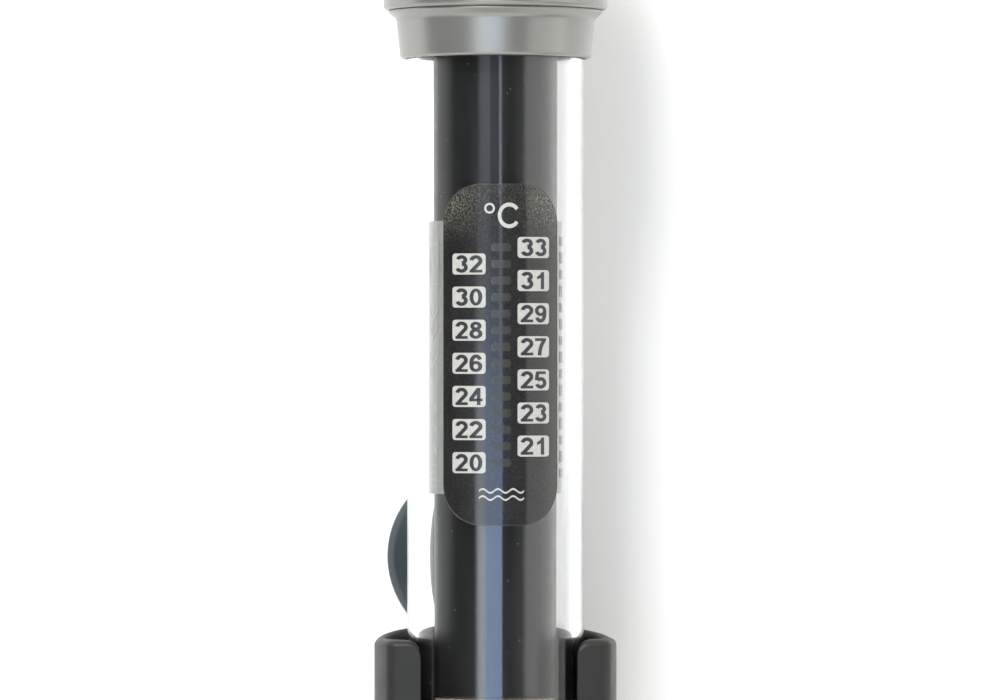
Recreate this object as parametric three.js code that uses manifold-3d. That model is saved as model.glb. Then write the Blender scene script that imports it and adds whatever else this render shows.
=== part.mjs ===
// Submersible aquarium heater in its wall holder. Millimetres, +Z up.
// The aquarium wall is the plane y = 0 and the heater hangs in front of it, facing -Y.
// The origin lies on the wall, midway between the holder's two suction cups.
import * as THREE from 'three';
import { mergeVertices } from 'three/addons/utils/BufferGeometryUtils.js';
import Module from 'manifold-3d';

// ---- Driving dimensions ----

const GAP = 0.3; // left between pieces that touch
const LARGE_ROUND = 36; // facets of a piece as wide as the tube
const MIDDLE_ROUND = 24; // facets of the knob, the gland and pieces inside the tube
const SMALL_ROUND = 16; // facets of spindles, lamps and other thin pieces
const ARC_STEPS = 4; // divisions of each curved stretch of a profile

const TUBE_AXIS_Y = -36;
const CUP_PITCH = 44; // between the two suction cups
const DIAL_Y = -5; // dial axis, measured from the tube axis
const GLAND_Y = 8.8; // cable inlet, measured from the tube axis

const tube = { radius: 12.5, wall: 1.5, top: 104, bottom: -97 };
const sleeve = { topRadius: 8.8, bottomRadius: 8.62, wall: 0.8, top: 96.5, bottom: 3.4 };
const strip = { width: 17.3, corner: 5.8, thickness: 0.2, top: 75.6, bottom: 27.7 };
const label = { radius: 9.45, thickness: 0.3, top: 70.5, bottom: 32, seamDegrees: 12 };

const collar = {
  bottomRadius: 13.5, topRadius: 14.15, flareRadius: 15.6, bottom: 93.6, skirtTop: 99.2, top: 100.4, edge: 0.5,
};
const housing = {
  flangeRadius: 15.95, radius: 15.2, bore: 12, roof: 2.5, edge: 1.2, bottom: 100.7, flangeTop: 104.2, top: 128,
};
const tooth = { halfWidth: 1.1, depth: 1.9, sunk: 0.5, foot: 125, top: 132.3, point: 1.4 };
const seal = { ringRadius: 13.7, sectionRadius: 0.8, recessRadius: 14.8, recessTop: 102.9 };
const bung = { radius: 10.7, lipRadius: 11.7, leadHole: 1.1, bottom: 96.8, lip: 104.3, top: 106 };

const gland = {
  bossRadius: 5.2, bossTop: 131.5, seatRadius: 4.1, seat: 127.8,
  spigot: 1.5, bore: 3.1, top: 138, edge: 1, grooves: 10,
};
const dialBoss = { radius: 4.2, top: 130.6, seatRadius: 3, seat: 128.4 };
const knob = {
  skirtRadius: 8.2, gripRadius: 6.2, bottom: 131.3, skirtTop: 136, top: 144.4,
  flutes: 14, well: 3.4, wellDepth: 1.2,
};
const spindle = { radius: 1.6, tailRadius: 1.1, top: 140.7, shoulder: 92, bottom: 72.5 };
const cam = { radius: 2.3, offset: 0.4, bottom: 73.5, top: 77.5 };
const lens = { radius: 2, z: 115, front: -15.9, back: -12.3 };
const lamp = { radius: 2, y: -9.4, bottom: 110, shoulder: 118, top: 120 };
const resistor = { radius: 1.1, halfLength: 3.2, y: 1.5, z: 112 };
const spindleSeal = { ringRadius: 2.3, sectionRadius: 0.6 };
const circlip = { outer: 3.3, thickness: 0.6, openFrom: -60, openTo: 240 };

const board = { width: 13, thickness: 1.6, front: 1.2, top: 92, bottom: 22 };
const bearing = { halfWidth: 3, front: -7, plate: 2, tab: 1, bottom: 79.5, top: 86 };
const anchor = { halfWidth: 4, front: -3.2, bottom: 34, top: 41.7 };
const arm = { halfWidth: 1.8, front: -1.9, back: -1.5, top: 78.5 };
const bimetal = { halfWidth: 2.4, front: -0.1, back: 0.6, top: 70 };
const contact = { radius: 1.2, z: 66 };
const magnet = { halfWidth: 2, front: -1.1, bottom: 70.6, top: 75 };
const capacitor = { halfWidth: 4.2, front: 3.1, back: 6.3, bottom: 56, top: 70 };
const fuse = { radius: 1.8, y: 4.95, bottom: 34, top: 46 };
const leadX = 3.5;
const leadY = 3.9;
const leadRadius = 0.8;
const elementLeadRadius = 0.45;

const cap = { radius: 8.6, spigotRadius: 7.4, leadHole: 0.8, bottom: -4.3, top: 8 };
const core = { ribRadius: 5.4, grooveRadius: 4.7, ribs: 8, bore: 0.9, top: -4.6, bottom: -78.4 };
const coil = { radius: 6.6, wireRadius: 0.45, turns: 18, stepsPerTurn: 8, top: -9, bottom: -74 };
const disc = { radius: 8.4, top: -78.7, bottom: -81.9 };
const shortLeadX = -6.4;

const clip = {
  outer: 17.2, inner: 14.8, grip: 12.8, mouth: 11.1, crease: 15.4,
  lipFront: -7.9, lipBack: -4, halfHeight: 11.4,
};
const clipBack = { halfHeight: 12.6, rampStart: 2, rampEnd: 13, padHalfWidth: 6 };
const lipCorner = 1.8;
const plate = { front: -14, back: -11.6, halfWidth: 7, halfLength: 30, holeRadius: 2.6 };
const web = { halfWidth: 4.5, gussetHalfWidth: 1, gussetTop: 16.8 };
const cup = {
  radius: 13.5, rim: 1.6, hollow: 3.5, domeHeight: 7.4, shoulder: 4.2, neck: 2.3, button: 4.2, buttonTop: 17.2,
};

// ---- Materials ----

function finish(color, roughness, metalness = 0, opacity = 1) {
  return new THREE.MeshStandardMaterial({ color, roughness, metalness, opacity, transparent: opacity < 1 });
}

const materials = {
  glass: finish(0xdfe8e6, 0.05, 0, 0.35),
  blackPlastic: finish(0x17181a, 0.45),
  greyPlastic: finish(0xa3a49e, 0.42),
  printedFilm: finish(0x1c1d1f, 0.3),
  paleInsert: finish(0xe6e6e0, 0.5),
  cupRubber: finish(0x39424a, 0.35),
  sealRubber: finish(0x2a2b2c, 0.7),
  ceramic: finish(0xb9a895, 0.8),
  resistanceWire: finish(0x8b8781, 0.4, 1),
  copper: finish(0xb66f43, 0.35, 1),
  steel: finish(0xb5b7b8, 0.3, 1),
  boardResin: finish(0x6b4a2a, 0.6),
  amberLens: finish(0xd06a1c, 0.15),
  leadSheath: finish(0x2f4f86, 0.5),
};

// ---- Solids ----

const wasm = await Module();
wasm.setup();

// The closed triangle mesh of a geometry: shared corners merged, empty triangles dropped.
function solid(geometry) {
  const bare = geometry.clone();
  bare.deleteAttribute('normal');
  bare.deleteAttribute('uv');
  const merged = mergeVertices(bare, 1e-4);
  const corners = merged.index.array;
  const kept = [];
  for (let i = 0; i < corners.length; i += 3) {
    const [a, b, c] = [corners[i], corners[i + 1], corners[i + 2]];
    if (a !== b && b !== c && c !== a) kept.push(a, b, c);
  }
  const vertProperties = merged.attributes.position.array;
  const triVerts = new Uint32Array(kept);
  return new wasm.Manifold(new wasm.Mesh({ numProp: 3, vertProperties, triVerts }));
}

function geometryOf(manifold) {
  const { vertProperties, triVerts } = manifold.getMesh();
  const geometry = new THREE.BufferGeometry();
  geometry.setAttribute('position', new THREE.BufferAttribute(vertProperties, 3));
  geometry.setIndex(new THREE.BufferAttribute(triVerts, 1));
  geometry.computeVertexNormals();
  return geometry;
}

// joined(a, b, ...) and cut(a, b, ...) take geometries and give one back.
function joined(first, ...others) {
  return geometryOf(others.reduce((sum, other) => sum.add(solid(other)), solid(first)));
}

function cut(first, ...tools) {
  return geometryOf(tools.reduce((rest, tool) => rest.subtract(solid(tool)), solid(first)));
}

function shared(first, second) {
  return geometryOf(solid(first).intersect(solid(second)));
}

// A profile of [radius, height] turned about Y, and the same turned about Z.
function turnedAboutY(path, facets = LARGE_ROUND) {
  return new THREE.LatheGeometry(path.getPoints(ARC_STEPS), facets);
}

function turned(path, facets = LARGE_ROUND) {
  return turnedAboutY(path, facets).rotateX(Math.PI / 2);
}

function profile(...points) {
  const path = new THREE.Path();
  path.setFromPoints(points.map(([radius, height]) => new THREE.Vector2(radius, height)));
  return path;
}

function ring(inner, outer, bottom, top, facets = LARGE_ROUND) {
  const section = profile([outer, bottom], [outer, top], [inner, top], [inner, bottom], [outer, bottom]);
  return turned(section, facets);
}

function rod(radius, bottom, top, x = 0, y = 0, facets = SMALL_ROUND) {
  const outline = profile([0, bottom], [radius, bottom], [radius, top], [0, top]);
  return turned(outline, facets).translate(x, y, 0);
}

function block(x0, x1, y0, y1, z0, z1) {
  const box = new THREE.BoxGeometry(x1 - x0, y1 - y0, z1 - z0);
  return box.translate((x0 + x1) / 2, (y0 + y1) / 2, (z0 + z1) / 2);
}

function extruded(shape, depth) {
  return new THREE.ExtrudeGeometry(shape, { depth, bevelEnabled: false, curveSegments: ARC_STEPS });
}

// An outline in x and y raised along Z, in y and z along X, and in x and z along Y.
function prismZ(shape, z0, z1) {
  return extruded(shape, z1 - z0).translate(0, 0, z0);
}

function prismX(shape, x0, x1) {
  const along = [[0, 1, 0], [0, 0, 1], [1, 0, 0]].map((axis) => new THREE.Vector3(...axis));
  const turn = new THREE.Matrix4().makeBasis(...along);
  return extruded(shape, x1 - x0).applyMatrix4(turn).translate(x0, 0, 0);
}

function prismY(shape, y0, y1) {
  return extruded(shape, y1 - y0).rotateX(Math.PI / 2).translate(0, y1, 0);
}

function outline(...points) {
  return new THREE.Shape(points.map(([x, y]) => new THREE.Vector2(x, y)));
}

function arc(radius, fromDegrees, toDegrees, steps) {
  const points = [];
  for (let i = 0; i <= steps; i += 1) {
    const angle = THREE.MathUtils.degToRad(fromDegrees + (toDegrees - fromDegrees) * i / steps);
    points.push([radius * Math.cos(angle), radius * Math.sin(angle)]);
  }
  return points;
}

// A round wire or lead along a curve.
function wire(curve, radius, steps, sides = 5) {
  const section = outline(...arc(radius, 0, 360 - 360 / sides, sides - 1));
  return new THREE.ExtrudeGeometry(section, { steps, extrudePath: curve });
}

function lead(points, radius) {
  const curve = new THREE.CatmullRomCurve3(points.map((point) => new THREE.Vector3(...point)));
  return wire(curve, radius, 4 * points.length);
}

// ---- Holder ----

// Plan of the spring clip about the tube axis: hollow arms, gripping lips and a flat back pad.
function clipPlan() {
  const creaseAngle = -THREE.MathUtils.radToDeg(Math.acos(clip.crease / clip.outer));
  const lipAngle = -THREE.MathUtils.radToDeg(Math.acos(clip.mouth / clip.grip));
  const rightHalf = [
    ...arc(clip.outer, 87, creaseAngle, 14),
    [clip.mouth, clip.lipFront],
    ...arc(clip.grip, lipAngle, -14, 3),
    ...arc(clip.inner, -4, 56, 8),
    [clipBack.padHalfWidth, clip.grip],
  ];
  const leftHalf = rightHalf.map(([x, y]) => [-x, y]).reverse();
  return outline(...rightHalf, ...leftHalf);
}

// Side view of the clip: its edges ramp up to a taller back.
function clipSide() {
  const { halfHeight: back, rampStart, rampEnd } = clipBack;
  const front = clip.halfHeight;
  const reach = clip.outer + 1;
  const upper = [[reach, back], [rampEnd, back], [rampStart, front], [-reach, front]];
  const lower = upper.map(([y, z]) => [y, -z]).reverse();
  return outline(...upper, ...lower);
}

// Front view of the clip's mouth, flared so that the lips get rounded corners.
function mouthOutline() {
  const edge = clip.mouth + lipCorner;
  const reach = clip.halfHeight + 2;
  const turn = clip.halfHeight - lipCorner;
  const upperArc = arc(lipCorner, 90, 180, ARC_STEPS).map(([x, z]) => [edge + x, turn + z]);
  const lowerArc = upperArc.map(([x, z]) => [x, -z]).reverse();
  const rightSide = [[edge, reach], ...upperArc, ...lowerArc, [edge, -reach]];
  return outline(...rightSide, ...rightSide.map(([x, z]) => [-x, z]).reverse());
}

function platePlan() {
  const { halfWidth, halfLength, holeRadius } = plate;
  const straight = halfLength - halfWidth;
  const shape = new THREE.Shape();
  shape.absarc(0, straight, halfWidth, 0, Math.PI);
  shape.absarc(0, -straight, halfWidth, Math.PI, 2 * Math.PI);
  for (const side of [1, -1]) {
    shape.holes.push(new THREE.Path().absarc(0, side * CUP_PITCH / 2, holeRadius, 0, 2 * Math.PI));
  }
  return shape;
}

function holderBracket() {
  const height = clipBack.halfHeight;
  const ringBack = TUBE_AXIS_Y + clip.outer - 1;
  const mouth = prismY(mouthOutline(), -clip.outer, clip.lipBack);
  const arms = shared(prismZ(clipPlan(), -height, height), prismX(clipSide(), -clip.outer, clip.outer));
  const clipRing = cut(arms, mouth);
  const backPlate = prismY(platePlan(), plate.front, plate.back);
  const spacer = block(-web.halfWidth, web.halfWidth, ringBack, plate.front + 1, -height, height);
  const gussets = [1, -1].map((side) => {
    const foot = side * (height - 1);
    const corners = [[ringBack + 1, foot], [plate.front + 1, foot], [plate.front + 1, side * web.gussetTop]];
    const shape = outline(...(side > 0 ? corners : corners.reverse()));
    return prismX(shape, -web.gussetHalfWidth, web.gussetHalfWidth);
  });
  return joined(clipRing.translate(0, TUBE_AXIS_Y, 0), backPlate, spacer, ...gussets);
}

// One moulding: the cup against the wall, a shoulder, and a button snapped through the plate.
function suctionCup() {
  const shoulderTop = plate.back + GAP;
  const buttonFoot = plate.front - GAP;
  const path = new THREE.Path();
  path.moveTo(0, -cup.buttonTop);
  path.quadraticCurveTo(cup.button, -cup.buttonTop, cup.button, buttonFoot - 0.8);
  path.lineTo(cup.button - 0.3, buttonFoot);
  path.lineTo(cup.neck, buttonFoot);
  path.lineTo(cup.neck, shoulderTop);
  path.lineTo(cup.shoulder, shoulderTop);
  path.lineTo(cup.shoulder, -cup.domeHeight);
  path.quadraticCurveTo(cup.shoulder + 1.4, 1 - cup.domeHeight, cup.radius - 4, -3.9);
  path.quadraticCurveTo(cup.radius, -2, cup.radius, -0.4);
  path.lineTo(cup.radius, 0);
  path.lineTo(cup.radius - cup.rim, 0);
  path.quadraticCurveTo(cup.radius / 2, -cup.hollow, 0, -cup.hollow);
  return turnedAboutY(path, MIDDLE_ROUND);
}

// ---- Glass tube and what is fixed to it ----

function glassTube() {
  const bore = tube.radius - tube.wall;
  const domeCentre = tube.bottom + tube.radius;
  const path = new THREE.Path();
  path.absarc(0, domeCentre, tube.radius, -Math.PI / 2, 0);
  path.lineTo(tube.radius, tube.top);
  path.lineTo(bore, tube.top);
  path.absarc(0, domeCentre, bore, 0, -Math.PI / 2, true);
  return turned(path);
}

// The film's flat outline, wrapped on the tube and seen from the front.
function wrappedOutline(radius) {
  const { width, corner, top, bottom } = strip;
  const halfWidth = width / 2;
  const halfHeight = (top - bottom) / 2;
  const quarters = [[1, 1, 0], [-1, 1, 90], [-1, -1, 180], [1, -1, 270]];
  const points = quarters.flatMap(([x, z, start]) => {
    const turn = arc(corner, start, start + 90, ARC_STEPS);
    return turn.map(([dx, dz]) => [x * (halfWidth - corner) + dx, z * (halfHeight - corner) + dz]);
  });
  const middle = (top + bottom) / 2;
  return outline(...points.map(([x, z]) => [radius * Math.sin(x / radius), middle + z]));
}

function thermometerStrip() {
  const inner = tube.radius + 0.08;
  const outer = inner + strip.thickness;
  const film = ring(inner, outer, strip.bottom - 1, strip.top + 1, 2 * LARGE_ROUND);
  return shared(film, prismY(wrappedOutline(outer), -tube.radius - 2, -2));
}

function innerSleeve() {
  const { topRadius, bottomRadius, wall, top, bottom } = sleeve;
  const outside = [[bottomRadius, bottom], [topRadius, top]];
  const inside = [[topRadius - wall, top], [bottomRadius - wall, bottom]];
  return turned(profile(...outside, ...inside, outside[0]));
}

// A sheet rolled round the sleeve, its seam at the back.
function infoLabel() {
  const { radius, thickness, top, bottom, seamDegrees } = label;
  const start = 90 + seamDegrees / 2;
  const end = start + 360 - seamDegrees;
  const outside = arc(radius, start, end, LARGE_ROUND);
  const inside = arc(radius - thickness, end, start, LARGE_ROUND);
  return prismZ(outline(...outside, ...inside), bottom, top);
}

// ---- Head ----

function headCollar() {
  const { bottomRadius, topRadius, flareRadius, bottom, skirtTop, top, edge } = collar;
  const bore = tube.radius + GAP;
  const path = new THREE.Path();
  path.moveTo(bore, bottom);
  path.lineTo(bottomRadius - edge, bottom);
  path.quadraticCurveTo(bottomRadius, bottom, bottomRadius, bottom + edge);
  path.lineTo(topRadius, skirtTop);
  path.quadraticCurveTo(topRadius + 0.1, top - 0.1, flareRadius, top);
  path.lineTo(bore, top);
  path.lineTo(bore, bottom);
  return turned(path);
}

function housingShell() {
  const { flangeRadius, radius, bore, roof, edge, bottom, flangeTop, top } = housing;
  const path = new THREE.Path();
  path.moveTo(0, top - roof);
  path.lineTo(bore, top - roof);
  path.lineTo(bore, tube.top + 2 * GAP);
  path.lineTo(tube.radius + GAP, tube.top + 2 * GAP);
  path.lineTo(tube.radius + GAP, seal.recessTop);
  path.lineTo(seal.recessRadius, seal.recessTop);
  path.lineTo(seal.recessRadius, bottom);
  path.lineTo(flangeRadius, bottom);
  path.lineTo(flangeRadius, flangeTop - edge / 2);
  path.quadraticCurveTo(flangeRadius, flangeTop, radius, flangeTop + 0.2);
  path.lineTo(radius, top - edge);
  path.quadraticCurveTo(radius, top, radius - edge, top);
  path.lineTo(0, top);
  return turned(path);
}

// A raised tooth on the rim, which the dial's numbers are read against.
function indexTooth() {
  const { halfWidth, depth, sunk, foot, top, point } = tooth;
  const shoulder = top - point;
  const rightSide = [[halfWidth, foot], [halfWidth, shoulder]];
  const leftSide = [[-halfWidth, shoulder], [-halfWidth, foot]];
  const front = -housing.radius - sunk;
  return prismY(outline(...rightSide, [0, top], ...leftSide), front, front + depth);
}

function headHousing() {
  const { top } = housing;
  const high = gland.bossTop + 1;
  const low = top - housing.roof - 1;
  const raised = joined(
    housingShell(),
    rod(gland.bossRadius, top - 1, gland.bossTop, 0, GLAND_Y),
    rod(dialBoss.radius, top - 1, dialBoss.top, 0, DIAL_Y),
    indexTooth(),
  );
  return cut(
    raised,
    rod(gland.bore, low, high, 0, GLAND_Y),
    rod(gland.seatRadius, gland.seat, high, 0, GLAND_Y),
    rod(spindle.radius + GAP, low, high, 0, DIAL_Y),
    rod(dialBoss.seatRadius, dialBoss.seat, high, 0, DIAL_Y),
    lensHole(),
  );
}

function lensHole() {
  const hole = rod(lens.radius + GAP, housing.bore - 2, housing.flangeRadius + 1);
  return hole.rotateX(Math.PI / 2).translate(0, 0, lens.z);
}

function tubeSealRing() {
  const height = (housing.bottom + seal.recessTop) / 2;
  return new THREE.TorusGeometry(seal.ringRadius, seal.sectionRadius, 6, MIDDLE_ROUND).translate(0, 0, height);
}

function tubeBung() {
  const { radius, lipRadius, leadHole, bottom, lip, top } = bung;
  const plug = [[0, bottom], [radius, bottom], [radius, lip]];
  const flange = [[lipRadius, lip], [lipRadius, top], [0, top]];
  const leadHoles = [-leadX, leadX].map((x) => rod(leadHole, bottom - 1, top + 1, x, leadY, SMALL_ROUND));
  const spindleHole = rod(spindle.radius + GAP, bottom - 1, top + 1, 0, DIAL_Y);
  return cut(turned(profile(...plug, ...flange)), spindleHole, ...leadHoles);
}

// The hollow screw that squeezes the grommet round the cable, with a ribbed head.
function cableGland() {
  const { bossRadius, bossTop, seatRadius, spigot, bore, top, edge } = gland;
  const seat = bossTop + GAP;
  const path = new THREE.Path();
  path.moveTo(bore, bossTop - spigot);
  path.lineTo(seatRadius - GAP, bossTop - spigot);
  path.lineTo(seatRadius - GAP, seat);
  path.lineTo(bossRadius, seat);
  path.lineTo(bossRadius, top - edge);
  path.quadraticCurveTo(bossRadius, top, bossRadius - edge, top);
  path.lineTo(bore, top);
  path.lineTo(bore, bossTop - spigot);
  const grooves = roundGrooves(gland.grooves, bossRadius + 0.4, 0.8, seat + 1, top + 1);
  return cut(turned(path, MIDDLE_ROUND), ...grooves).translate(0, GLAND_Y, 0);
}

// Cutters for upright grooves spaced evenly round a grip.
function roundGrooves(count, reach, radius, bottom, top) {
  const grooves = [];
  for (let i = 0; i < count; i += 1) {
    const angle = (i + 0.5) * 2 * Math.PI / count;
    grooves.push(rod(radius, bottom, top, reach * Math.cos(angle), reach * Math.sin(angle), 8));
  }
  return grooves;
}

function cableGrommet() {
  const outer = gland.seatRadius - GAP;
  const top = gland.bossTop - gland.spigot - GAP;
  return ring(gland.bore, outer, gland.seat + GAP, top, MIDDLE_ROUND).translate(0, GLAND_Y, 0);
}

function spindleSealRing() {
  const { ringRadius, sectionRadius } = spindleSeal;
  const height = dialBoss.seat + sectionRadius + 0.2;
  return new THREE.TorusGeometry(ringRadius, sectionRadius, 6, SMALL_ROUND).translate(0, DIAL_Y, height);
}

function indicatorLens() {
  const path = new THREE.Path();
  path.moveTo(0, lens.front);
  path.quadraticCurveTo(lens.radius, lens.front, lens.radius, lens.front + 0.9);
  path.lineTo(lens.radius, lens.back);
  path.lineTo(0, lens.back);
  return turnedAboutY(path, SMALL_ROUND).translate(0, 0, lens.z);
}

function neonLamp() {
  const { radius, y, bottom, shoulder, top } = lamp;
  const path = new THREE.Path();
  path.moveTo(0, bottom);
  path.lineTo(radius, bottom);
  path.lineTo(radius, shoulder);
  path.quadraticCurveTo(radius, top, 0, top);
  return turned(path, SMALL_ROUND).translate(0, y, 0);
}

function lampResistor() {
  const { radius, halfLength, y, z } = resistor;
  return rod(radius, -halfLength, halfLength).rotateY(Math.PI / 2).translate(0, y, z);
}

// ---- Thermostat, inside the sleeve ----

function thermostatBoard() {
  const { width, thickness, front, top, bottom } = board;
  return block(-width / 2, width / 2, front, front + thickness, bottom, top);
}

// An angle bracket on the board, which steadies the lower end of the spindle.
function camBearing() {
  const { halfWidth, front, plate: thickness, tab, bottom, top } = bearing;
  const back = board.front - GAP;
  const shelf = bottom + thickness;
  const outside = [[front, bottom], [back, bottom], [back, top]];
  const inside = [[back - tab, top], [back - tab, shelf], [front, shelf]];
  const hole = rod(spindle.tailRadius + GAP, bottom - 1, shelf + 1, 0, DIAL_Y);
  return cut(prismX(outline(...outside, ...inside), -halfWidth, halfWidth), hole);
}

function anchorBlock() {
  return block(-anchor.halfWidth, anchor.halfWidth, anchor.front, board.front - GAP, anchor.bottom, anchor.top);
}

// A leaf clamped in the anchor block, standing up beside the board.
function leaf({ halfWidth, front, back, top }) {
  return block(-halfWidth, halfWidth, front, back, anchor.top + GAP, top);
}

function contactRivet(front, back) {
  const rivet = rod(contact.radius, -back, -front);
  return rivet.rotateX(Math.PI / 2).translate(0, 0, contact.z);
}

function snapMagnet() {
  const { halfWidth, front, bottom, top } = magnet;
  return block(-halfWidth, halfWidth, front, board.front - GAP, bottom, top);
}

function suppressionCapacitor() {
  const { halfWidth, front, back, bottom, top } = capacitor;
  return block(-halfWidth, halfWidth, front, back, bottom, top);
}

function thermalFuse() {
  return rod(fuse.radius, fuse.bottom, fuse.top, 0, fuse.y);
}

function supplyLead(side) {
  const x = side * leadX;
  const inHead = [[x, 7.5, 119], [x, 4.6, 111], [x, leadY, 107]];
  const inTube = [[x, leadY, 96], [x, leadY, 84]];
  return lead([...inHead, ...inTube], leadRadius);
}

// ---- Heating element ----

function elementTopCap() {
  const { radius, spigotRadius, leadHole, bottom, top } = cap;
  const shoulder = sleeve.bottom - GAP;
  const head = [[0, bottom], [radius, bottom], [radius, shoulder]];
  const spigot = [[spigotRadius, shoulder], [spigotRadius, top], [0, top]];
  const holes = [0, shortLeadX].map((x) => rod(leadHole, bottom - 1, top + 1, x, 0));
  return cut(turned(profile(...head, ...spigot)), ...holes);
}

// A ceramic rod with lengthwise ribs, which carry the coil.
function elementCore() {
  const points = [];
  for (let i = 0; i < core.ribs; i += 1) {
    const start = i * 360 / core.ribs;
    points.push(...arc(core.ribRadius, start, start + 18, 2));
    points.push(...arc(core.grooveRadius, start + 24, start + 39, 1));
  }
  const shape = outline(...points);
  shape.holes.push(new THREE.Path().absarc(0, 0, core.bore, 0, 2 * Math.PI));
  return prismZ(shape, core.bottom, core.top);
}

class Helix extends THREE.Curve {
  getPoint(t) {
    const angle = 2 * Math.PI * coil.turns * t;
    const height = coil.top + (coil.bottom - coil.top) * t;
    return new THREE.Vector3(coil.radius * Math.cos(angle), coil.radius * Math.sin(angle), height);
  }
}

function heatingCoil() {
  return wire(new Helix(), coil.wireRadius, coil.turns * coil.stepsPerTurn);
}

function elementBottomDisc() {
  return ring(cap.leadHole, disc.radius, disc.bottom, disc.top, MIDDLE_ROUND);
}

function endCushion() {
  const radius = tube.radius - tube.wall - GAP;
  const path = new THREE.Path();
  path.absarc(0, tube.bottom + tube.radius, radius, -Math.PI / 2, 0);
  path.lineTo(radius, disc.bottom - GAP);
  path.lineTo(0, disc.bottom - GAP);
  return turned(path, MIDDLE_ROUND);
}

function shortElementLead() {
  const inSleeve = [[-4, leadY, 32], [-4.4, leadY, 22], [-5.2, 2.4, 14.5]];
  const throughCap = [9, 2, -7.5].map((z) => [shortLeadX, 0, z]);
  return lead([...inSleeve, ...throughCap], elementLeadRadius);
}

function longElementLead() {
  const inSleeve = [[4, leadY, 32], [4, leadY, 22], [2.6, 2, 14.5]];
  const throughCore = [9, 0, -40, -78].map((z) => [0, 0, z]);
  return lead([...inSleeve, ...throughCore], elementLeadRadius);
}

// ---- Dial, drawn about its own axis ----

function temperatureKnob() {
  const { skirtRadius, gripRadius, bottom, skirtTop, top, flutes, well, wellDepth } = knob;
  const bore = spindle.radius + GAP;
  const path = new THREE.Path();
  path.moveTo(0, spindle.top + GAP);
  path.lineTo(bore, spindle.top + GAP);
  path.lineTo(bore, bottom);
  path.lineTo(skirtRadius, bottom);
  path.lineTo(skirtRadius, bottom + 1);
  path.lineTo(gripRadius + 0.9, skirtTop - 0.6);
  path.quadraticCurveTo(gripRadius + 0.2, skirtTop - 0.3, gripRadius, skirtTop + 0.6);
  path.lineTo(gripRadius - 0.3, top - 1);
  path.quadraticCurveTo(gripRadius - 0.3, top, gripRadius - 1.3, top);
  path.lineTo(well, top);
  path.lineTo(well, top - wellDepth);
  path.lineTo(0, top - wellDepth);
  const grooves = roundGrooves(flutes, gripRadius + 0.5, 0.9, skirtTop + 0.8, top + 1);
  return cut(turned(path, MIDDLE_ROUND), ...grooves);
}

function knobInsert() {
  const bottom = knob.top - knob.wellDepth + GAP;
  const radius = knob.well - GAP;
  const path = new THREE.Path();
  path.moveTo(0, bottom);
  path.lineTo(radius, bottom);
  path.lineTo(radius, knob.top);
  path.quadraticCurveTo(radius - 0.5, knob.top + 0.3, 0, knob.top + 0.4);
  return turned(path, SMALL_ROUND);
}

function knobSpindle() {
  const { radius, tailRadius, top, shoulder, bottom } = spindle;
  const tail = [[0, bottom], [tailRadius, bottom], [tailRadius, shoulder]];
  const shaft = [[radius, shoulder], [radius, top], [0, top]];
  return turned(profile(...tail, ...shaft), SMALL_ROUND);
}

// An open spring clip under the head's roof, which keeps the spindle in.
function spindleClip() {
  const { outer, thickness, openFrom, openTo } = circlip;
  const inside = arc(spindle.radius + 0.1, openTo, openFrom, 12);
  const outside = arc(outer, openFrom, openTo, 12);
  const top = housing.top - housing.roof - GAP;
  return prismZ(outline(...inside, ...outside), top - thickness, top);
}

// An eccentric on the spindle's end, which presses the contact arm.
function adjustingCam() {
  return cut(
    rod(cam.radius, cam.bottom, cam.top, 0, -cam.offset),
    rod(spindle.tailRadius + 0.1, cam.bottom - 1, cam.top + 1),
  );
}

// ---- Assembly ----

function named(name, geometry, material) {
  const mesh = new THREE.Mesh(geometry, materials[material]);
  mesh.name = name;
  return mesh;
}

function buildDial() {
  const dial = new THREE.Group();
  dial.add(
    named('temperature_knob', temperatureKnob(), 'blackPlastic'),
    named('knob_insert', knobInsert(), 'paleInsert'),
    named('knob_spindle', knobSpindle(), 'steel'),
    named('spindle_clip', spindleClip(), 'steel'),
    named('adjusting_cam', adjustingCam(), 'paleInsert'),
  );
  dial.position.y = DIAL_Y;
  return dial;
}

function buildThermostat() {
  const thermostat = new THREE.Group();
  thermostat.add(
    named('thermostat_board', thermostatBoard(), 'boardResin'),
    named('cam_bearing', camBearing(), 'steel'),
    named('anchor_block', anchorBlock(), 'boardResin'),
    named('contact_arm', leaf(arm), 'copper'),
    named('bimetal_strip', leaf(bimetal), 'steel'),
    named('arm_contact', contactRivet(-1.3, -0.9), 'steel'),
    named('bimetal_contact', contactRivet(-0.6, -0.3), 'steel'),
    named('snap_magnet', snapMagnet(), 'sealRubber'),
    named('suppression_capacitor', suppressionCapacitor(), 'leadSheath'),
    named('thermal_fuse', thermalFuse(), 'steel'),
    named('live_lead', supplyLead(-1), 'leadSheath'),
    named('neutral_lead', supplyLead(1), 'leadSheath'),
  );
  return thermostat;
}

function buildElement() {
  const element = new THREE.Group();
  element.add(
    named('element_top_cap', elementTopCap(), 'ceramic'),
    named('element_core', elementCore(), 'ceramic'),
    named('heating_coil', heatingCoil(), 'resistanceWire'),
    named('element_bottom_disc', elementBottomDisc(), 'ceramic'),
    named('end_cushion', endCushion(), 'sealRubber'),
    named('short_element_lead', shortElementLead(), 'copper'),
    named('long_element_lead', longElementLead(), 'copper'),
  );
  return element;
}

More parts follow.
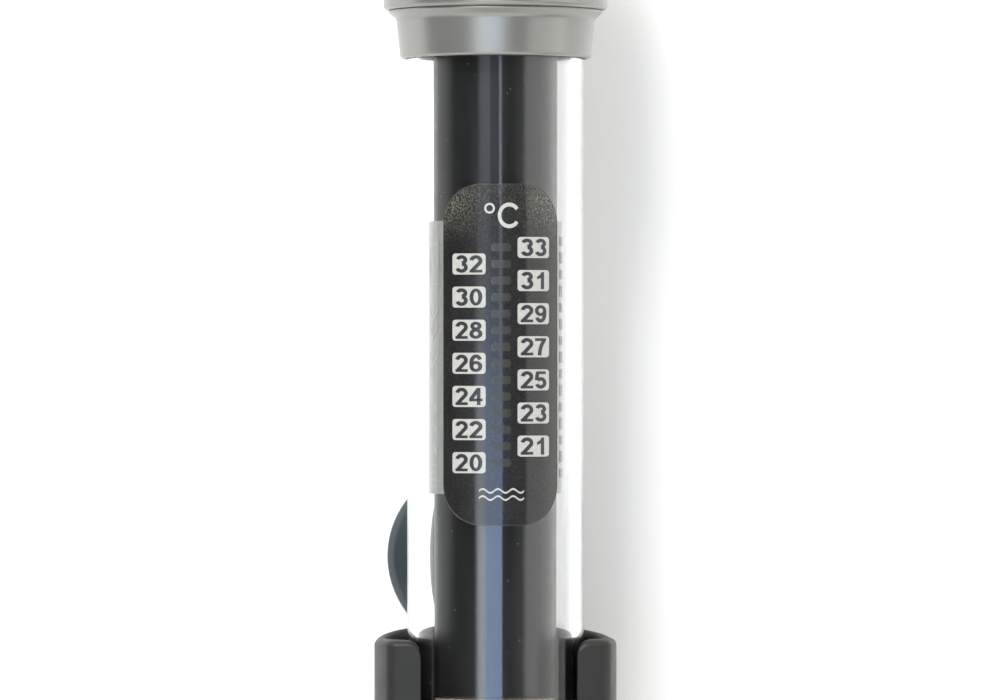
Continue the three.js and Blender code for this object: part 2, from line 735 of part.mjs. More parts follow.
function buildHead() {
  const head = new THREE.Group();
  head.add(
    named('head_collar', headCollar(), 'greyPlastic'),
    named('head_housing', headHousing(), 'greyPlastic'),
    named('tube_seal_ring', tubeSealRing(), 'sealRubber'),
    named('tube_bung', tubeBung(), 'sealRubber'),
    named('cable_gland', cableGland(), 'blackPlastic'),
    named('cable_grommet', cableGrommet(), 'sealRubber'),
    named('spindle_seal_ring', spindleSealRing(), 'sealRubber'),
    named('indicator_lens', indicatorLens(), 'amberLens'),
    named('neon_lamp', neonLamp(), 'glass'),
    named('lamp_resistor', lampResistor(), 'ceramic'),
  );
  return head;
}

function buildHeater() {
  const heater = new THREE.Group();
  heater.add(
    named('glass_tube', glassTube(), 'glass'),
    named('thermometer_strip', thermometerStrip(), 'printedFilm'),
    named('inner_sleeve', innerSleeve(), 'blackPlastic'),
    named('info_label', infoLabel(), 'printedFilm'),
    buildHead(),
    buildThermostat(),
    buildElement(),
    buildDial(),
  );
  heater.position.y = TUBE_AXIS_Y;
  return heater;
}

function buildHolder() {
  const holder = new THREE.Group();
  holder.add(named('holder_bracket', holderBracket(), 'blackPlastic'));
  for (const [name, side] of [['upper_suction_cup', 1], ['lower_suction_cup', -1]]) {
    const cupMesh = named(name, suctionCup(), 'cupRubber');
    cupMesh.position.z = side * CUP_PITCH / 2;
    holder.add(cupMesh);
  }
  return holder;
}

const group = new THREE.Group();
group.add(buildHolder(), buildHeater());

export default group;
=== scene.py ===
"""Looks, light and camera for a submersible aquarium heater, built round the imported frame.

Metres, +Z up. The aquarium wall is the plane y = 0; the heater hangs in front of it and faces -Y.
"""

import math

import bmesh
import bpy
from mathutils import Matrix, Vector


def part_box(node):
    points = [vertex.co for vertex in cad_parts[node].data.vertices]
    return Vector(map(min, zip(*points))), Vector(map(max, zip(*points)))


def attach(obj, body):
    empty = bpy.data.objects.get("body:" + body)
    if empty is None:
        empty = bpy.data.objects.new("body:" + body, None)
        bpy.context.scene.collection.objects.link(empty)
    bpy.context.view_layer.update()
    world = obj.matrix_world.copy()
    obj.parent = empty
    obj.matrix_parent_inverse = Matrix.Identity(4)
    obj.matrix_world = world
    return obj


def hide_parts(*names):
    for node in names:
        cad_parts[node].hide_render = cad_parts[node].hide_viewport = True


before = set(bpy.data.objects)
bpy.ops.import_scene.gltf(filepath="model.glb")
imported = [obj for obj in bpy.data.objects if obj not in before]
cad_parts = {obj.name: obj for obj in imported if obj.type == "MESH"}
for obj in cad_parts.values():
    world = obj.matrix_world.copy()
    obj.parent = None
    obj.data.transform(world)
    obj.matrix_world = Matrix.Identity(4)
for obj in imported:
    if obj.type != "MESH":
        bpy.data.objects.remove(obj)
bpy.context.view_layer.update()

MM = 0.001
SEGMENTS = 160  # facets of a large round piece
FINE = 64  # facets of a small round piece


# ---- Places, read from the frame ----

def low(node):
    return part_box(node)[0]


def high(node):
    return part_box(node)[1]


def centre(node):
    return (low(node) + high(node)) / 2


def half_width(node):
    return (high(node).x - low(node).x) / 2


TUBE = centre("glass_tube")
TUBE_R = half_width("glass_tube")
WALL_THICKNESS = 1.5 * MM
DIAL = centre("knob_spindle")
GLAND = centre("cable_gland")
AXIS = (TUBE.x, TUBE.y)
DIAL_AXIS = (DIAL.x, DIAL.y)
GLAND_AXIS = (GLAND.x, GLAND.y)


# ---- Camera ----

CAMERA_AZIMUTH = math.radians(-4)
CAMERA_DISTANCE = 0.95
VIEW_WIDTH = 141.9 * MM  # what the picture takes in across, at the tube's axis
EYE_LEVEL = centre("thermometer_strip").z + 0.65 * MM
AIM_RIGHT = 0.65 * MM
SENSOR = 36.0


def add_camera():
    data = bpy.data.cameras.new("camera")
    data.sensor_width = SENSOR
    data.lens = SENSOR * CAMERA_DISTANCE / VIEW_WIDTH
    camera = bpy.data.objects.new("camera", data)
    bpy.context.scene.collection.objects.link(camera)
    back = Vector((math.sin(CAMERA_AZIMUTH), -math.cos(CAMERA_AZIMUTH), 0))
    right = Vector((math.cos(CAMERA_AZIMUTH), math.sin(CAMERA_AZIMUTH), 0))
    aim = Vector((TUBE.x, TUBE.y, EYE_LEVEL)) + AIM_RIGHT * right
    camera.location = aim + CAMERA_DISTANCE * back
    camera.rotation_euler = (math.pi / 2, 0, CAMERA_AZIMUTH)
    bpy.context.scene.camera = camera


# ---- Node and material helpers ----

class Tree:
    """Short calls for making and linking the nodes of one material or world."""

    def __init__(self, owner):
        owner.use_nodes = True
        self.owner = owner
        self.nodes = owner.node_tree.nodes
        self.links = owner.node_tree.links

    def add(self, kind, inputs=None, **settings):
        node = self.nodes.new(kind)
        for key, value in settings.items():
            setattr(node, key, value)
        for key, value in (inputs or {}).items():
            self.put(node.inputs[key], value)
        return node

    def put(self, socket, value):
        if isinstance(value, bpy.types.NodeSocket):
            self.links.new(value, socket)
        else:
            socket.default_value = value

    def math(self, operation, *values, clamp=False):
        node = self.add("ShaderNodeMath", operation=operation, use_clamp=clamp)
        for i, value in enumerate(values):
            self.put(node.inputs[i], value)
        return node.outputs[0]

    def map(self, value, from_min, from_max, to_min, to_max, smooth=False):
        kind = "SMOOTHSTEP" if smooth else "LINEAR"
        node = self.add("ShaderNodeMapRange", interpolation_type=kind)
        for i, item in enumerate((value, from_min, from_max, to_min, to_max)):
            self.put(node.inputs[i], item)
        return node.outputs[0]

    def mix(self, factor, first, second):
        node = self.add("ShaderNodeMix", data_type="RGBA")
        self.put(node.inputs["Factor"], factor)
        self.put(node.inputs[6], first)
        self.put(node.inputs[7], second)
        return node.outputs[2]

    def noise(self, scale, detail=3.0, stretch=(1, 1, 1), roughness=0.5):
        place = self.add("ShaderNodeTexCoord").outputs["Object"]
        if stretch != (1, 1, 1):
            place = self.add("ShaderNodeMapping", {"Vector": place, "Scale": stretch}).outputs[0]
        inputs = {"Vector": place, "Scale": scale, "Detail": detail, "Roughness": roughness}
        return self.add("ShaderNodeTexNoise", inputs).outputs["Fac"]

    def cells(self, scale):
        """The distance to the middle of the nearest of many scattered cells."""
        place = self.add("ShaderNodeTexCoord").outputs["Object"]
        return self.add("ShaderNodeTexVoronoi", {"Vector": place, "Scale": scale}).outputs["Distance"]

    def bump(self, height, distance, strength):
        inputs = {"Height": height, "Distance": distance, "Strength": strength}
        return self.add("ShaderNodeBump", inputs).outputs[0]


class Surface(Tree):
    """A Principled material. Even values go straight on the shader; the rest is linked in."""

    def __init__(self, name, **values):
        super().__init__(bpy.data.materials.new(name))
        self.shader = self.nodes["Principled BSDF"]
        for key, value in values.items():
            self.set(key.replace("_", " "), value)

    def set(self, key, value):
        self.put(self.shader.inputs[key], value)


def rgb(red, green, blue):
    return (red, green, blue, 1.0)


def moulded(name, colour, roughness, metallic=0.0, shade=0.82, scuffing=0.07, depth=0.02, gloss=0.5):
    """Injection-moulded plastic: a fine grain (depth in mm), soft flow marks and uneven polish.

    shade is how dark the flow marks are, as a share of the colour. scuffing is how far the roughness strays.
    """
    s = Surface(name, Specular_IOR_Level=gloss, Metallic=metallic)
    flow = s.noise(70, 2)
    darker = rgb(*(c * shade for c in colour[:3]))
    s.set("Base Color", s.mix(s.map(flow, 0.35, 0.65, 0, 1), darker, colour))
    scuff = s.noise(260, 3)
    s.set("Roughness", s.map(scuff, 0.1, 0.9, roughness - scuffing, roughness + scuffing))
    s.set("Normal", s.bump(s.noise(2900, 2), depth * MM, 0.5))
    return s.owner


def sleeve_plastic(name):
    """The sleeve's black tube: satin, finely grained, with pale dust flecks that stay inside the glass."""
    s = Surface(name, Specular_IOR_Level=0.5)
    dust = s.math("LESS_THAN", s.cells(520), 0.06)
    flow = s.mix(s.noise(70, 2), rgb(0.006, 0.006, 0.007), rgb(0.011, 0.011, 0.012))
    s.set("Base Color", s.mix(dust, flow, rgb(0.17, 0.17, 0.165)))
    s.set("Roughness", s.map(s.noise(260, 4, (1, 1, 1), 0.6), 0.3, 0.7, 0.31, 0.39))
    s.set("Normal", s.bump(s.noise(2400, 2), 0.03 * MM, 0.6))
    return s.owner


def soft_vinyl(name):
    """Dark blue-grey PVC of the suction cups: a little light passes through its thin rim."""
    s = Surface(name, Roughness=0.28, Specular_IOR_Level=0.5, Subsurface_Weight=0.35)
    s.set("Subsurface Radius", (0.9, 1.1, 1.3))
    s.set("Subsurface Scale", 2.0 * MM)
    cloud = s.noise(160, 3)
    s.set("Base Color", s.mix(cloud, rgb(0.024, 0.035, 0.043), rgb(0.038, 0.052, 0.062)))
    s.set("Normal", s.bump(s.noise(900, 2), 0.03 * MM, 0.4))
    return s.owner


def clear_glass(name):
    """Drawn tube glass: clear, slightly wavy along its length, with dust specks on it."""
    s = Surface(name, Roughness=0.0, IOR=1.474, Transmission_Weight=1.0)
    dust = s.math("LESS_THAN", s.cells(420), 0.018)
    s.set("Roughness", s.map(dust, 0, 1, 0.0, 0.75))
    s.set("Base Color", rgb(0.985, 0.995, 0.99))
    s.set("Normal", s.bump(s.noise(55, 1, (1, 1, 0.08)), 0.02 * MM, 0.25))
    return s.owner


def film(name):
    """The strip's laminate: a glossy clear face over fine black pebbles, with painted glints (pale specks in
    its colour) near its top corners.
    """
    s = Surface(name, Coat_Weight=1.0, Coat_Roughness=0.03, Specular_IOR_Level=0.35)
    pebble = s.noise(5200, 2, (1, 1, 0.7))
    place = s.add("ShaderNodeSeparateXYZ", {0: s.add("ShaderNodeTexCoord").outputs["Object"]})
    top = high("thermometer_strip").z
    ends = s.map(place.outputs[2], top - 9 * MM, top - 1 * MM, 0, 1, True)
    side = s.map(s.math("ABSOLUTE", place.outputs[0]), 2 * MM, 8 * MM, 0.15, 1, True)
    # lift is where the painted glints go: near the top edge and away from the middle, where the grain would
    # catch the light from above.
    lift = s.math("MULTIPLY", ends, side)
    specks = s.map(pebble, 0.48, 0.72, 0, 1)
    ground = s.mix(specks, rgb(0.005, 0.005, 0.006), rgb(0.020, 0.020, 0.018))
    glint = s.math("MULTIPLY", lift, s.map(pebble, 0.42, 0.75, 0, 1))
    # Painted glints: pale specks lighten the colour where lift is high.
    s.set("Base Color", s.mix(glint, ground, rgb(0.26, 0.25, 0.185)))
    s.set("Roughness", s.map(s.noise(240, 3), 0.3, 0.7, 0.3, 0.45))
    s.set("Normal", s.bump(pebble, 0.05 * MM, 0.8))
    s.set("Coat Normal", s.bump(pebble, 0.006 * MM, 0.3))
    return s.owner


def ink(name, colour, roughness=0.45):
    """Printed ink under a thin varnish, a little worn."""
    s = Surface(name, Specular_IOR_Level=0.5, Coat_Weight=0.5, Coat_Roughness=0.12)
    thin = s.noise(3800, 2)
    worn = rgb(*(c * 0.86 for c in colour[:3]))
    s.set("Base Color", s.mix(s.map(thin, 0.3, 0.6, 0, 1), worn, colour))
    s.set("Roughness", s.map(thin, 0.3, 0.7, roughness - 0.06, roughness + 0.06))
    s.set("Normal", s.bump(thin, 0.01 * MM, 0.5))
    return s.owner


def ceramic(name):
    """Unglazed beige ceramic: porous, with darker heat marks."""
    s = Surface(name, Specular_IOR_Level=0.3)
    heat = s.noise(110, 4)
    base = s.mix(s.map(heat, 0.35, 0.7, 0, 1), rgb(0.46, 0.38, 0.31), rgb(0.62, 0.54, 0.46))
    pores = s.cells(1500)
    s.set("Base Color", s.mix(s.map(pores, 0.0, 0.12, 0.55, 0), base, rgb(0.25, 0.2, 0.16)))
    s.set("Roughness", s.map(heat, 0.3, 0.7, 0.72, 0.9))
    s.set("Normal", s.bump(s.noise(2600, 3), 0.06 * MM, 0.6))
    return s.owner


def metal(name, colour, roughness):
    """Bare metal with drawing lines along Z and duller patches."""
    s = Surface(name, Metallic=1.0)
    lines = s.noise(2400, 3, (1, 1, 0.05))
    tint = s.noise(300, 3)
    dull = rgb(*(c * 0.7 for c in colour[:3]))
    s.set("Base Color", s.mix(s.map(tint, 0.35, 0.7, 0, 1), dull, colour))
    s.set("Roughness", s.map(lines, 0.3, 0.7, roughness - 0.08, roughness + 0.1))
    s.set("Normal", s.bump(lines, 0.01 * MM, 0.5))
    return s.owner


def elastomer(name):
    """Black rubber with a grey bloom."""
    s = Surface(name, Specular_IOR_Level=0.35)
    bloom = s.noise(220, 4)
    clouded = s.map(bloom, 0.4, 0.75, 0, 1)
    s.set("Base Color", s.mix(clouded, rgb(0.014, 0.014, 0.014), rgb(0.045, 0.044, 0.042)))
    s.set("Roughness", s.map(bloom, 0.3, 0.7, 0.55, 0.78))
    s.set("Normal", s.bump(s.noise(2200, 2), 0.01 * MM, 0.4))
    return s.owner


def amber(name):
    """Clear orange plastic of the lamp's window."""
    s = Surface(name, Roughness=0.08, IOR=1.49, Transmission_Weight=0.75)
    s.set("Base Color", s.mix(s.noise(400, 2), rgb(0.85, 0.2, 0.02), rgb(0.95, 0.36, 0.06)))
    s.set("Normal", s.bump(s.noise(600, 1), 0.02 * MM, 0.2))
    return s.owner


def laminate(name):
    """Brown paper laminate of the thermostat's board, fibres along its length."""
    s = Surface(name, Specular_IOR_Level=0.4)
    fibre = s.noise(1800, 4, (1, 1, 0.1))
    s.set("Base Color", s.mix(fibre, rgb(0.17, 0.095, 0.04), rgb(0.34, 0.2, 0.1)))
    s.set("Roughness", s.map(fibre, 0.3, 0.7, 0.45, 0.6))
    s.set("Normal", s.bump(fibre, 0.03 * MM, 0.4))
    return s.owner


MATERIALS = {
    "glass": clear_glass("tube_glass"),
    "black": moulded("black_plastic", rgb(0.023, 0.023, 0.021), 0.45, gloss=0.26),
    "sleeve": sleeve_plastic("sleeve_plastic"),
    "grey": moulded("grey_plastic", rgb(0.262, 0.262, 0.246), 0.3, 0.62, 0.95, 0.03, 0.006),
    "pale": moulded("pale_plastic", rgb(0.70, 0.70, 0.66), 0.4),
    "vinyl": soft_vinyl("cup_vinyl"),
    "film": film("strip_film"),
    "label": ink("label_print", rgb(0.38, 0.385, 0.36), 0.4),
    "pale_ink": ink("pale_ink", rgb(0.42, 0.42, 0.39)),
    "dark_ink": ink("dark_ink", rgb(0.016, 0.016, 0.022)),
    "window_ink": ink("window_ink", rgb(0.026, 0.026, 0.021), 0.38),
    "white_ink": ink("white_ink", rgb(0.44, 0.44, 0.415)),
    # The edge line is the laminate's border, made lighter than the film as a painted highlight for the light
    # its edge catches.
    "edge": ink("film_edge_and_highlight", rgb(0.05, 0.05, 0.047), 0.25),
    "ceramic": ceramic("beige_ceramic"),
    "wire": metal("resistance_wire", rgb(0.42, 0.38, 0.34), 0.38),
    "copper": metal("copper_alloy", rgb(0.72, 0.40, 0.22), 0.3),
    "steel": metal("plain_steel", rgb(0.60, 0.60, 0.61), 0.3),
    "rubber": elastomer("seal_rubber"),
    "amber": amber("amber_lens"),
    "board": laminate("board_laminate"),
    "blue": moulded("blue_sheath", rgb(0.045, 0.10, 0.30), 0.4),
}


# ---- Mesh helpers ----

def finish_piece(bm, name, body, material, replaces=(), angle=32):
    """A bmesh in the row frame becomes a piece of the object."""
    bmesh.ops.recalc_face_normals(bm, faces=bm.faces)
    mesh = bpy.data.meshes.new(name)
    bm.to_mesh(mesh)
    bm.free()
    return place_piece(mesh, name, body, material, replaces, angle)


def place_piece(mesh, name, body, material, replaces=(), angle=32):
    mesh.materials.clear()
    mesh.materials.append(MATERIALS[material])
    mesh.polygons.foreach_set("use_smooth", [True] * len(mesh.polygons))
    mesh.set_sharp_from_angle(angle=math.radians(angle))
    piece = bpy.data.objects.new(name, mesh)
    bpy.context.scene.collection.objects.link(piece)
    normals = piece.modifiers.new("normals", "WEIGHTED_NORMAL")
    normals.keep_sharp = True
    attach(piece, body)
    if replaces:
        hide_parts(*replaces)
    return piece


def rounded(corners, closed=False, steps=5):
    """Points of a profile given as (x, y) or (x, y, fillet radius) corners, in millimetres."""
    points = []
    count = len(corners)
    for i, corner in enumerate(corners):
        here = Vector(corner[:2])
        fillet = corner[2] if len(corner) > 2 else 0
        if not fillet or (not closed and i in (0, count - 1)):
            points.append(here)
            continue
        to_last = (Vector(corners[i - 1][:2]) - here).normalized()
        to_next = (Vector(corners[(i + 1) % count][:2]) - here).normalized()
        half = to_last.angle(to_next) / 2
        middle = here + (to_last + to_next).normalized() * fillet / math.sin(half)
        start = here + to_last * fillet / math.tan(half) - middle
        end = here + to_next * fillet / math.tan(half) - middle
        for j in range(steps + 1):
            points.append(middle + fillet * start.slerp(end, j / steps))
    if closed:
        points.append(points[0].copy())
    return [(p.x * MM, p.y * MM) for p in points]


def arc(cx, cy, radius, start, end, steps=16):
    """Points of an arc in degrees, in millimetres, for a profile."""
    angles = (math.radians(start + (end - start) * i / steps) for i in range(steps + 1))
    return [(cx + radius * math.cos(a), cy + radius * math.sin(a)) for a in angles]


def revolve(profile, axis, segments=SEGMENTS, along="Z", radius_of=None):
    """A bmesh of a profile of (radius, height) turned about a vertical line, or one along Y.

    radius_of(radius, height, angle) may change the radius round the turn.
    """
    bm = bmesh.new()
    rings = []
    for radius, height in profile:
        ring = []
        for i in range(segments):
            angle = 2 * math.pi * i / segments
            r = radius_of(radius, height, angle) if radius_of else radius
            if along == "Z":
                point = (axis[0] + r * math.sin(angle), axis[1] - r * math.cos(angle), height)
            else:
                point = (axis[0] + r * math.sin(angle), height, axis[1] + r * math.cos(angle))
            ring.append(bm.verts.new(point))
        rings.append(ring)
    for lower, upper in zip(rings, rings[1:]):
        for i in range(segments):
            j = (i + 1) % segments
            bm.faces.new((lower[i], lower[j], upper[j], upper[i]))
    bmesh.ops.remove_doubles(bm, verts=bm.verts, dist=1e-7)
    return bm


def boolean(bm, tool, operation):
    """The first bmesh joined with, or cut by, the second, by an exact boolean."""
    meshes = []
    for source in (bm, tool):
        bmesh.ops.recalc_face_normals(source, faces=source.faces)
        mesh = bpy.data.meshes.new("boolean")
        source.to_mesh(mesh)
        source.free()
        meshes.append(mesh)
    base, cutter = (bpy.data.objects.new("boolean", mesh) for mesh in meshes)
    for item in (base, cutter):
        bpy.context.scene.collection.objects.link(item)
    modifier = base.modifiers.new("boolean", "BOOLEAN")
    modifier.operation = operation
    modifier.solver = "EXACT"
    modifier.object = cutter
    bpy.context.view_layer.update()
    graph = bpy.context.evaluated_depsgraph_get()
    result = bpy.data.meshes.new_from_object(base.evaluated_get(graph))
    out = bmesh.new()
    out.from_mesh(result)
    for item in (base, cutter):
        bpy.data.objects.remove(item)
    return out


def rod(radius, bottom, top, axis, segments=FINE, along="Z"):
    return revolve([(0, bottom), (radius, bottom), (radius, top), (0, top)], axis, segments, along)


def flat_curve(outlines, thickness, edge):
    """A bmesh of closed outlines in millimetres, filled and thickened, with round edges."""
    curve = bpy.data.curves.new("outline", "CURVE")
    curve.dimensions = "2D"
    curve.fill_mode = "BOTH"
    curve.extrude = thickness / 2 * MM - edge * MM
    curve.bevel_depth = edge * MM
    curve.bevel_resolution = 3
    curve.offset = -edge * MM
    for outline in outlines:
        spline = curve.splines.new("POLY")
        spline.points.add(len(outline) - 1)
        for point, (x, y) in zip(spline.points, outline):
            point.co = (x * MM, y * MM, 0, 1)
        spline.use_cyclic_u = True
    return curve_bmesh(curve)


def ellipse(x, y, rx, ry, start=0, end=354, steps=24):
    return [(x + rx * px, y + ry * py) for px, py in arc(0, 0, 1, start, end, steps)]


def stroke(points, width):
    """The outline of a bar that follows an open line of points."""
    line = [Vector(p) for p in points]
    left, right = [], []
    for i, here in enumerate(line):
        way = (line[min(i + 1, len(line) - 1)] - line[max(i - 1, 0)]).normalized()
        side = Vector((-way.y, way.x)) * width / 2
        left.append(tuple(here + side))
        right.append(tuple(here - side))
    return left + right[::-1]


STROKE = 0.205  # width of a digit's stroke, as a share of its height


def loop(x, y, rx, ry):
    """A closed ring of a digit, a little thinner above and below than at its sides."""
    return [ellipse(x, y, rx, ry), ellipse(x, y, rx - STROKE, ry - 0.85 * STROKE)]


def bar(x0, y0, x1, y1):
    return [[(x0, y0), (x1, y0), (x1, y1), (x0, y1)]]


SIX = [loop(0, -0.18, 0.33, 0.32), [stroke(ellipse(0.01, 0, 0.245, 0.42, 32, 196), STROKE)]]
ONE = [
    (0.2, 0.5), (0.05, 0.5), (-0.03, 0.34), (-0.2, 0.23),
    (-0.2, 0.06), (0.01, 0.17), (0.01, -0.5), (0.2, -0.5),
]
DIGITS = {
    "0": [loop(0, 0, 0.33, 0.5)],
    "1": [[ONE]],
    "2": [
        [stroke(ellipse(0, 0.185, 0.235, 0.225, 172, -32) + [(-0.2, -0.4)], STROKE)],
        bar(-0.33, -0.5, 0.33, -0.34),
    ],
    "3": [
        [stroke(ellipse(0, 0.235, 0.21, 0.18, 165, -85), STROKE)],
        [stroke(ellipse(0, -0.2, 0.235, 0.21, 82, -165), STROKE)],
    ],
    "4": [
        bar(0.05, -0.5, 0.235, 0.5),
        bar(-0.34, -0.28, 0.34, -0.12),
        [stroke([(-0.27, -0.18), (0.12, 0.42)], STROKE)],
    ],
    "5": [
        bar(-0.25, 0.34, 0.29, 0.5),
        [stroke([(-0.18, 0.42), (-0.235, -0.02)], STROKE)],
        [stroke(ellipse(0, -0.175, 0.235, 0.235, 142, -160), STROKE)],
    ],
    "6": SIX,
    "7": [
        bar(-0.32, 0.34, 0.32, 0.5),
        [stroke([(0.22, 0.42), (0.07, 0.14), (-0.03, -0.16), (-0.07, -0.5)], STROKE)],
    ],
    "8": [loop(0, 0.245, 0.29, 0.255), loop(0, -0.205, 0.335, 0.295)],
    "9": [[[(-x, -y) for x, y in outline] for outline in shape] for shape in SIX],
}
DIGIT_STEP = 0.88  # between two digits' middles, as a share of their height
DIGIT_STRETCH = 1.17
DIGIT_EDGE = 0.004  # rounding of a digit's edges, mm


def number_bmesh(value, height, thickness):
    """A plain two-figure number, centred on the origin. Height and thickness are in millimetres."""
    parts = []
    for digit, side in zip(str(value), (-0.5, 0.5)):
        shift = side * DIGIT_STEP
        for shape in DIGITS[digit]:
            outlines = [
                [((x * DIGIT_STRETCH + shift) * height, y * height) for x, y in outline] for outline in shape
            ]
            parts.append(flat_curve(outlines, thickness, DIGIT_EDGE))
    return merged(parts)


def curve_bmesh(curve):
    item = bpy.data.objects.new("curve", curve)
    bpy.context.scene.collection.objects.link(item)
    bpy.context.view_layer.update()
    graph = bpy.context.evaluated_depsgraph_get()
    mesh = bpy.data.meshes.new_from_object(item.evaluated_get(graph))
    bm = bmesh.new()
    bm.from_mesh(mesh)
    bmesh.ops.remove_doubles(bm, verts=bm.verts, dist=1e-7)
    bpy.data.objects.remove(item)
    return bm


def merged(parts):
    """One bmesh of several, each moved to its place."""
    out = bmesh.new()
    for part in parts:
        mesh = bpy.data.meshes.new("part")
        part.to_mesh(mesh)
        part.free()
        out.from_mesh(mesh)
        bpy.data.meshes.remove(mesh)
    return out


def moved(bm, *matrices):
    for matrix in matrices:
        bmesh.ops.transform(bm, matrix=matrix, verts=bm.verts)
    return bm


def wrap(bm, radius, step=0.5 * MM):
    """Bends a flat bmesh (x across, y up, z thickness) round the tube's axis, facing -Y."""
    reach = max(abs(v.co.x) for v in bm.verts)
    for i in range(-int(reach / step), int(reach / step) + 1):
        geometry = bm.verts[:] + bm.edges[:] + bm.faces[:]
        bmesh.ops.bisect_plane(bm, geom=geometry, plane_co=(i * step, 0, 0), plane_no=(1, 0, 0), dist=1e-8)
    for v in bm.verts:
        angle = v.co.x / radius
        r = radius + v.co.z
        v.co = Vector((TUBE.x + r * math.sin(angle), TUBE.y - r * math.cos(angle), v.co.y))
    return bm


def rounded_box(width, height, radius, x=0.0, y=0.0, steps=6):
    """The outline of a rectangle with round corners, in millimetres."""
    w, h = width / 2 - radius, height / 2 - radius
    points = []
    for cx, cy, start in ((w, h, 0), (-w, h, 90), (-w, -h, 180), (w, -h, 270)):
        points += arc(x + cx, y + cy, radius, start, start + 90, steps)
    return points


# ---- Glass tube, sleeve and label ----

def add_tube():
    bottom, top = low("glass_tube").z / MM, high("glass_tube").z / MM
    outer = TUBE_R / MM
    inner = outer - WALL_THICKNESS / MM
    dome = bottom + outer
    rim = [
        (outer, top - 0.6), (outer - 0.25, top - 0.1), (outer - 0.75, top),
        (inner + 0.25, top - 0.1), (inner, top - 0.6),
    ]
    profile = arc(0, dome, outer, -90, 0, 28) + rim + arc(0, dome, inner, 0, -90, 28)
    profile = [(max(r, 0) * MM, z * MM) for r, z in profile]
    bm = revolve(profile, AXIS, 192)
    finish_piece(bm, "tube_glass_wall", "heater", "glass", ["glass_tube"], 60)


def add_sleeve():
    bottom, top = low("inner_sleeve").z / MM, high("inner_sleeve").z / MM
    wide, narrow, wall = half_width("inner_sleeve") / MM, 8.62, 0.8
    corners = [(narrow, bottom, 0.2), (wide, top, 0.2), (wide - wall, top, 0.2), (narrow - wall, bottom, 0.2)]
    profile = rounded(corners, closed=True, steps=3)
    finish_piece(revolve(profile, AXIS), "sleeve_tube", "heater", "sleeve", ["inner_sleeve"])


LABEL_THICKNESS = 0.3
LABEL_SEAM = 2.0  # left open where the sheet's edges meet


def label_marks():
    """Outlines of plain marks up the label's left side: a frame, chevrons, dots and bars."""
    yield [rounded_box(3.4, 6.0, 0.3, 0, 13.2), rounded_box(2.6, 5.2, 0.1, 0, 13.2)]
    for y in (5.8, 3.4, -0.6, -3.0):
        upper = [(-1.6, y + 1.1), (0, y - 0.3), (1.6, y + 1.1)]
        yield [upper + [(x, height - 0.55) for x, height in reversed(upper)]]
    for i in range(5):
        yield [arc(0.9 * (-1) ** i, -7.2 - 1.5 * i, 0.55, 0, 330, 11)]
    for i in range(4):
        yield [rounded_box(2.8 - 0.5 * (i % 2), 0.55, 0.1, 0, -15.2 - 1.0 * i)]


def add_label():
    """A printed sheet rolled round the sleeve, with plain marks up its sides."""
    bottom, top = low("info_label").z / MM, high("info_label").z / MM
    radius = half_width("info_label") / MM - LABEL_THICKNESS / 2
    lift = Matrix.Translation((0, 0, (top + bottom) / 2 * MM))
    width = 2 * math.pi * radius - LABEL_SEAM
    sheet = flat_curve([rounded_box(width, top - bottom, 0.8)], LABEL_THICKNESS, 0.05)
    sheet = moved(wrap(sheet, radius * MM), lift)
    finish_piece(sheet, "rolled_label", "heater", "label", ["info_label"])
    aside = Matrix.Translation((-radius * math.radians(70) * MM, 0, 0))
    marks = [moved(flat_curve(outlines, 0.04, 0.005), aside) for outlines in label_marks()]
    blocks = []
    for i in range(15):
        x, y = radius * math.radians(74), 16.4 - 2.34 * i
        blocks.append(flat_curve([rounded_box(2.6, 1.3 + 0.3 * (i % 2), 0.15, x, y)], 0.04, 0.005))
    for name, parts, paint in (("label_marks", marks, "white_ink"), ("label_blocks", blocks, "dark_ink")):
        parts = moved(wrap(merged(parts), (radius + 0.18) * MM), lift)
        finish_piece(parts, name, "heater", paint)


# ---- Strip thermometer ----

STRIP_TOP = high("thermometer_strip").z
STRIP_HEIGHT = (high("thermometer_strip").z - low("thermometer_strip").z) / MM
STRIP_WIDTH = 17.3
STRIP_CORNER = 5.8
STRIP_RIM = 0.12  # width of the line round its edge
CORNER_STEPS = 14
STRIP_R = TUBE_R + 0.18 * MM
PRINT_R = TUBE_R + 0.29 * MM
PRINT_DEPTH = 0.03
PRINT_EDGE = 0.005
COLUMN_X = 4.7
BOX_SIZE = (4.9, 2.95)
NUMBER_HEIGHT = 2.4
ROW_PITCH = 4.64
FIRST_LEFT = 11.25  # from the strip's top to the middle of the first box
FIRST_RIGHT = 8.93


def print_rows():
    """(column, drop from the strip's top, number) of each box, from the top down."""
    for i in range(7):
        yield 1, FIRST_RIGHT + i * ROW_PITCH, 33 - 2 * i
        yield -1, FIRST_LEFT + i * ROW_PITCH, 32 - 2 * i


def on_strip(parts, radius=PRINT_R):
    sheet = wrap(merged(parts), radius)
    return moved(sheet, Matrix.Translation((0, 0, STRIP_TOP)))


def add_strip():
    middle = (0, -STRIP_HEIGHT / 2)
    outer, inner = (
        rounded_box(STRIP_WIDTH - 2 * rim, STRIP_HEIGHT - 2 * rim, STRIP_CORNER - rim, *middle, CORNER_STEPS)
        for rim in (0, STRIP_RIM)
    )
    base = on_strip([flat_curve([outer], 0.2, 0.04)], STRIP_R)
    finish_piece(base, "strip_base", "heater", "film", ["thermometer_strip"], 40)
    # The line round the strip's edge: the laminate's border, with a painted highlight in its colour.
    rim = on_strip([flat_curve([outer, inner], 0.05, 0.01)])
    finish_piece(rim, "strip_edge_and_highlight_line", "heater", "edge")


def add_strip_boxes():
    boxes = [
        flat_curve([rounded_box(*BOX_SIZE, 0.45, side * COLUMN_X, -drop)], PRINT_DEPTH, PRINT_EDGE)
        for side, drop, _ in print_rows()
    ]
    finish_piece(on_strip(boxes), "strip_number_boxes", "heater", "pale_ink")


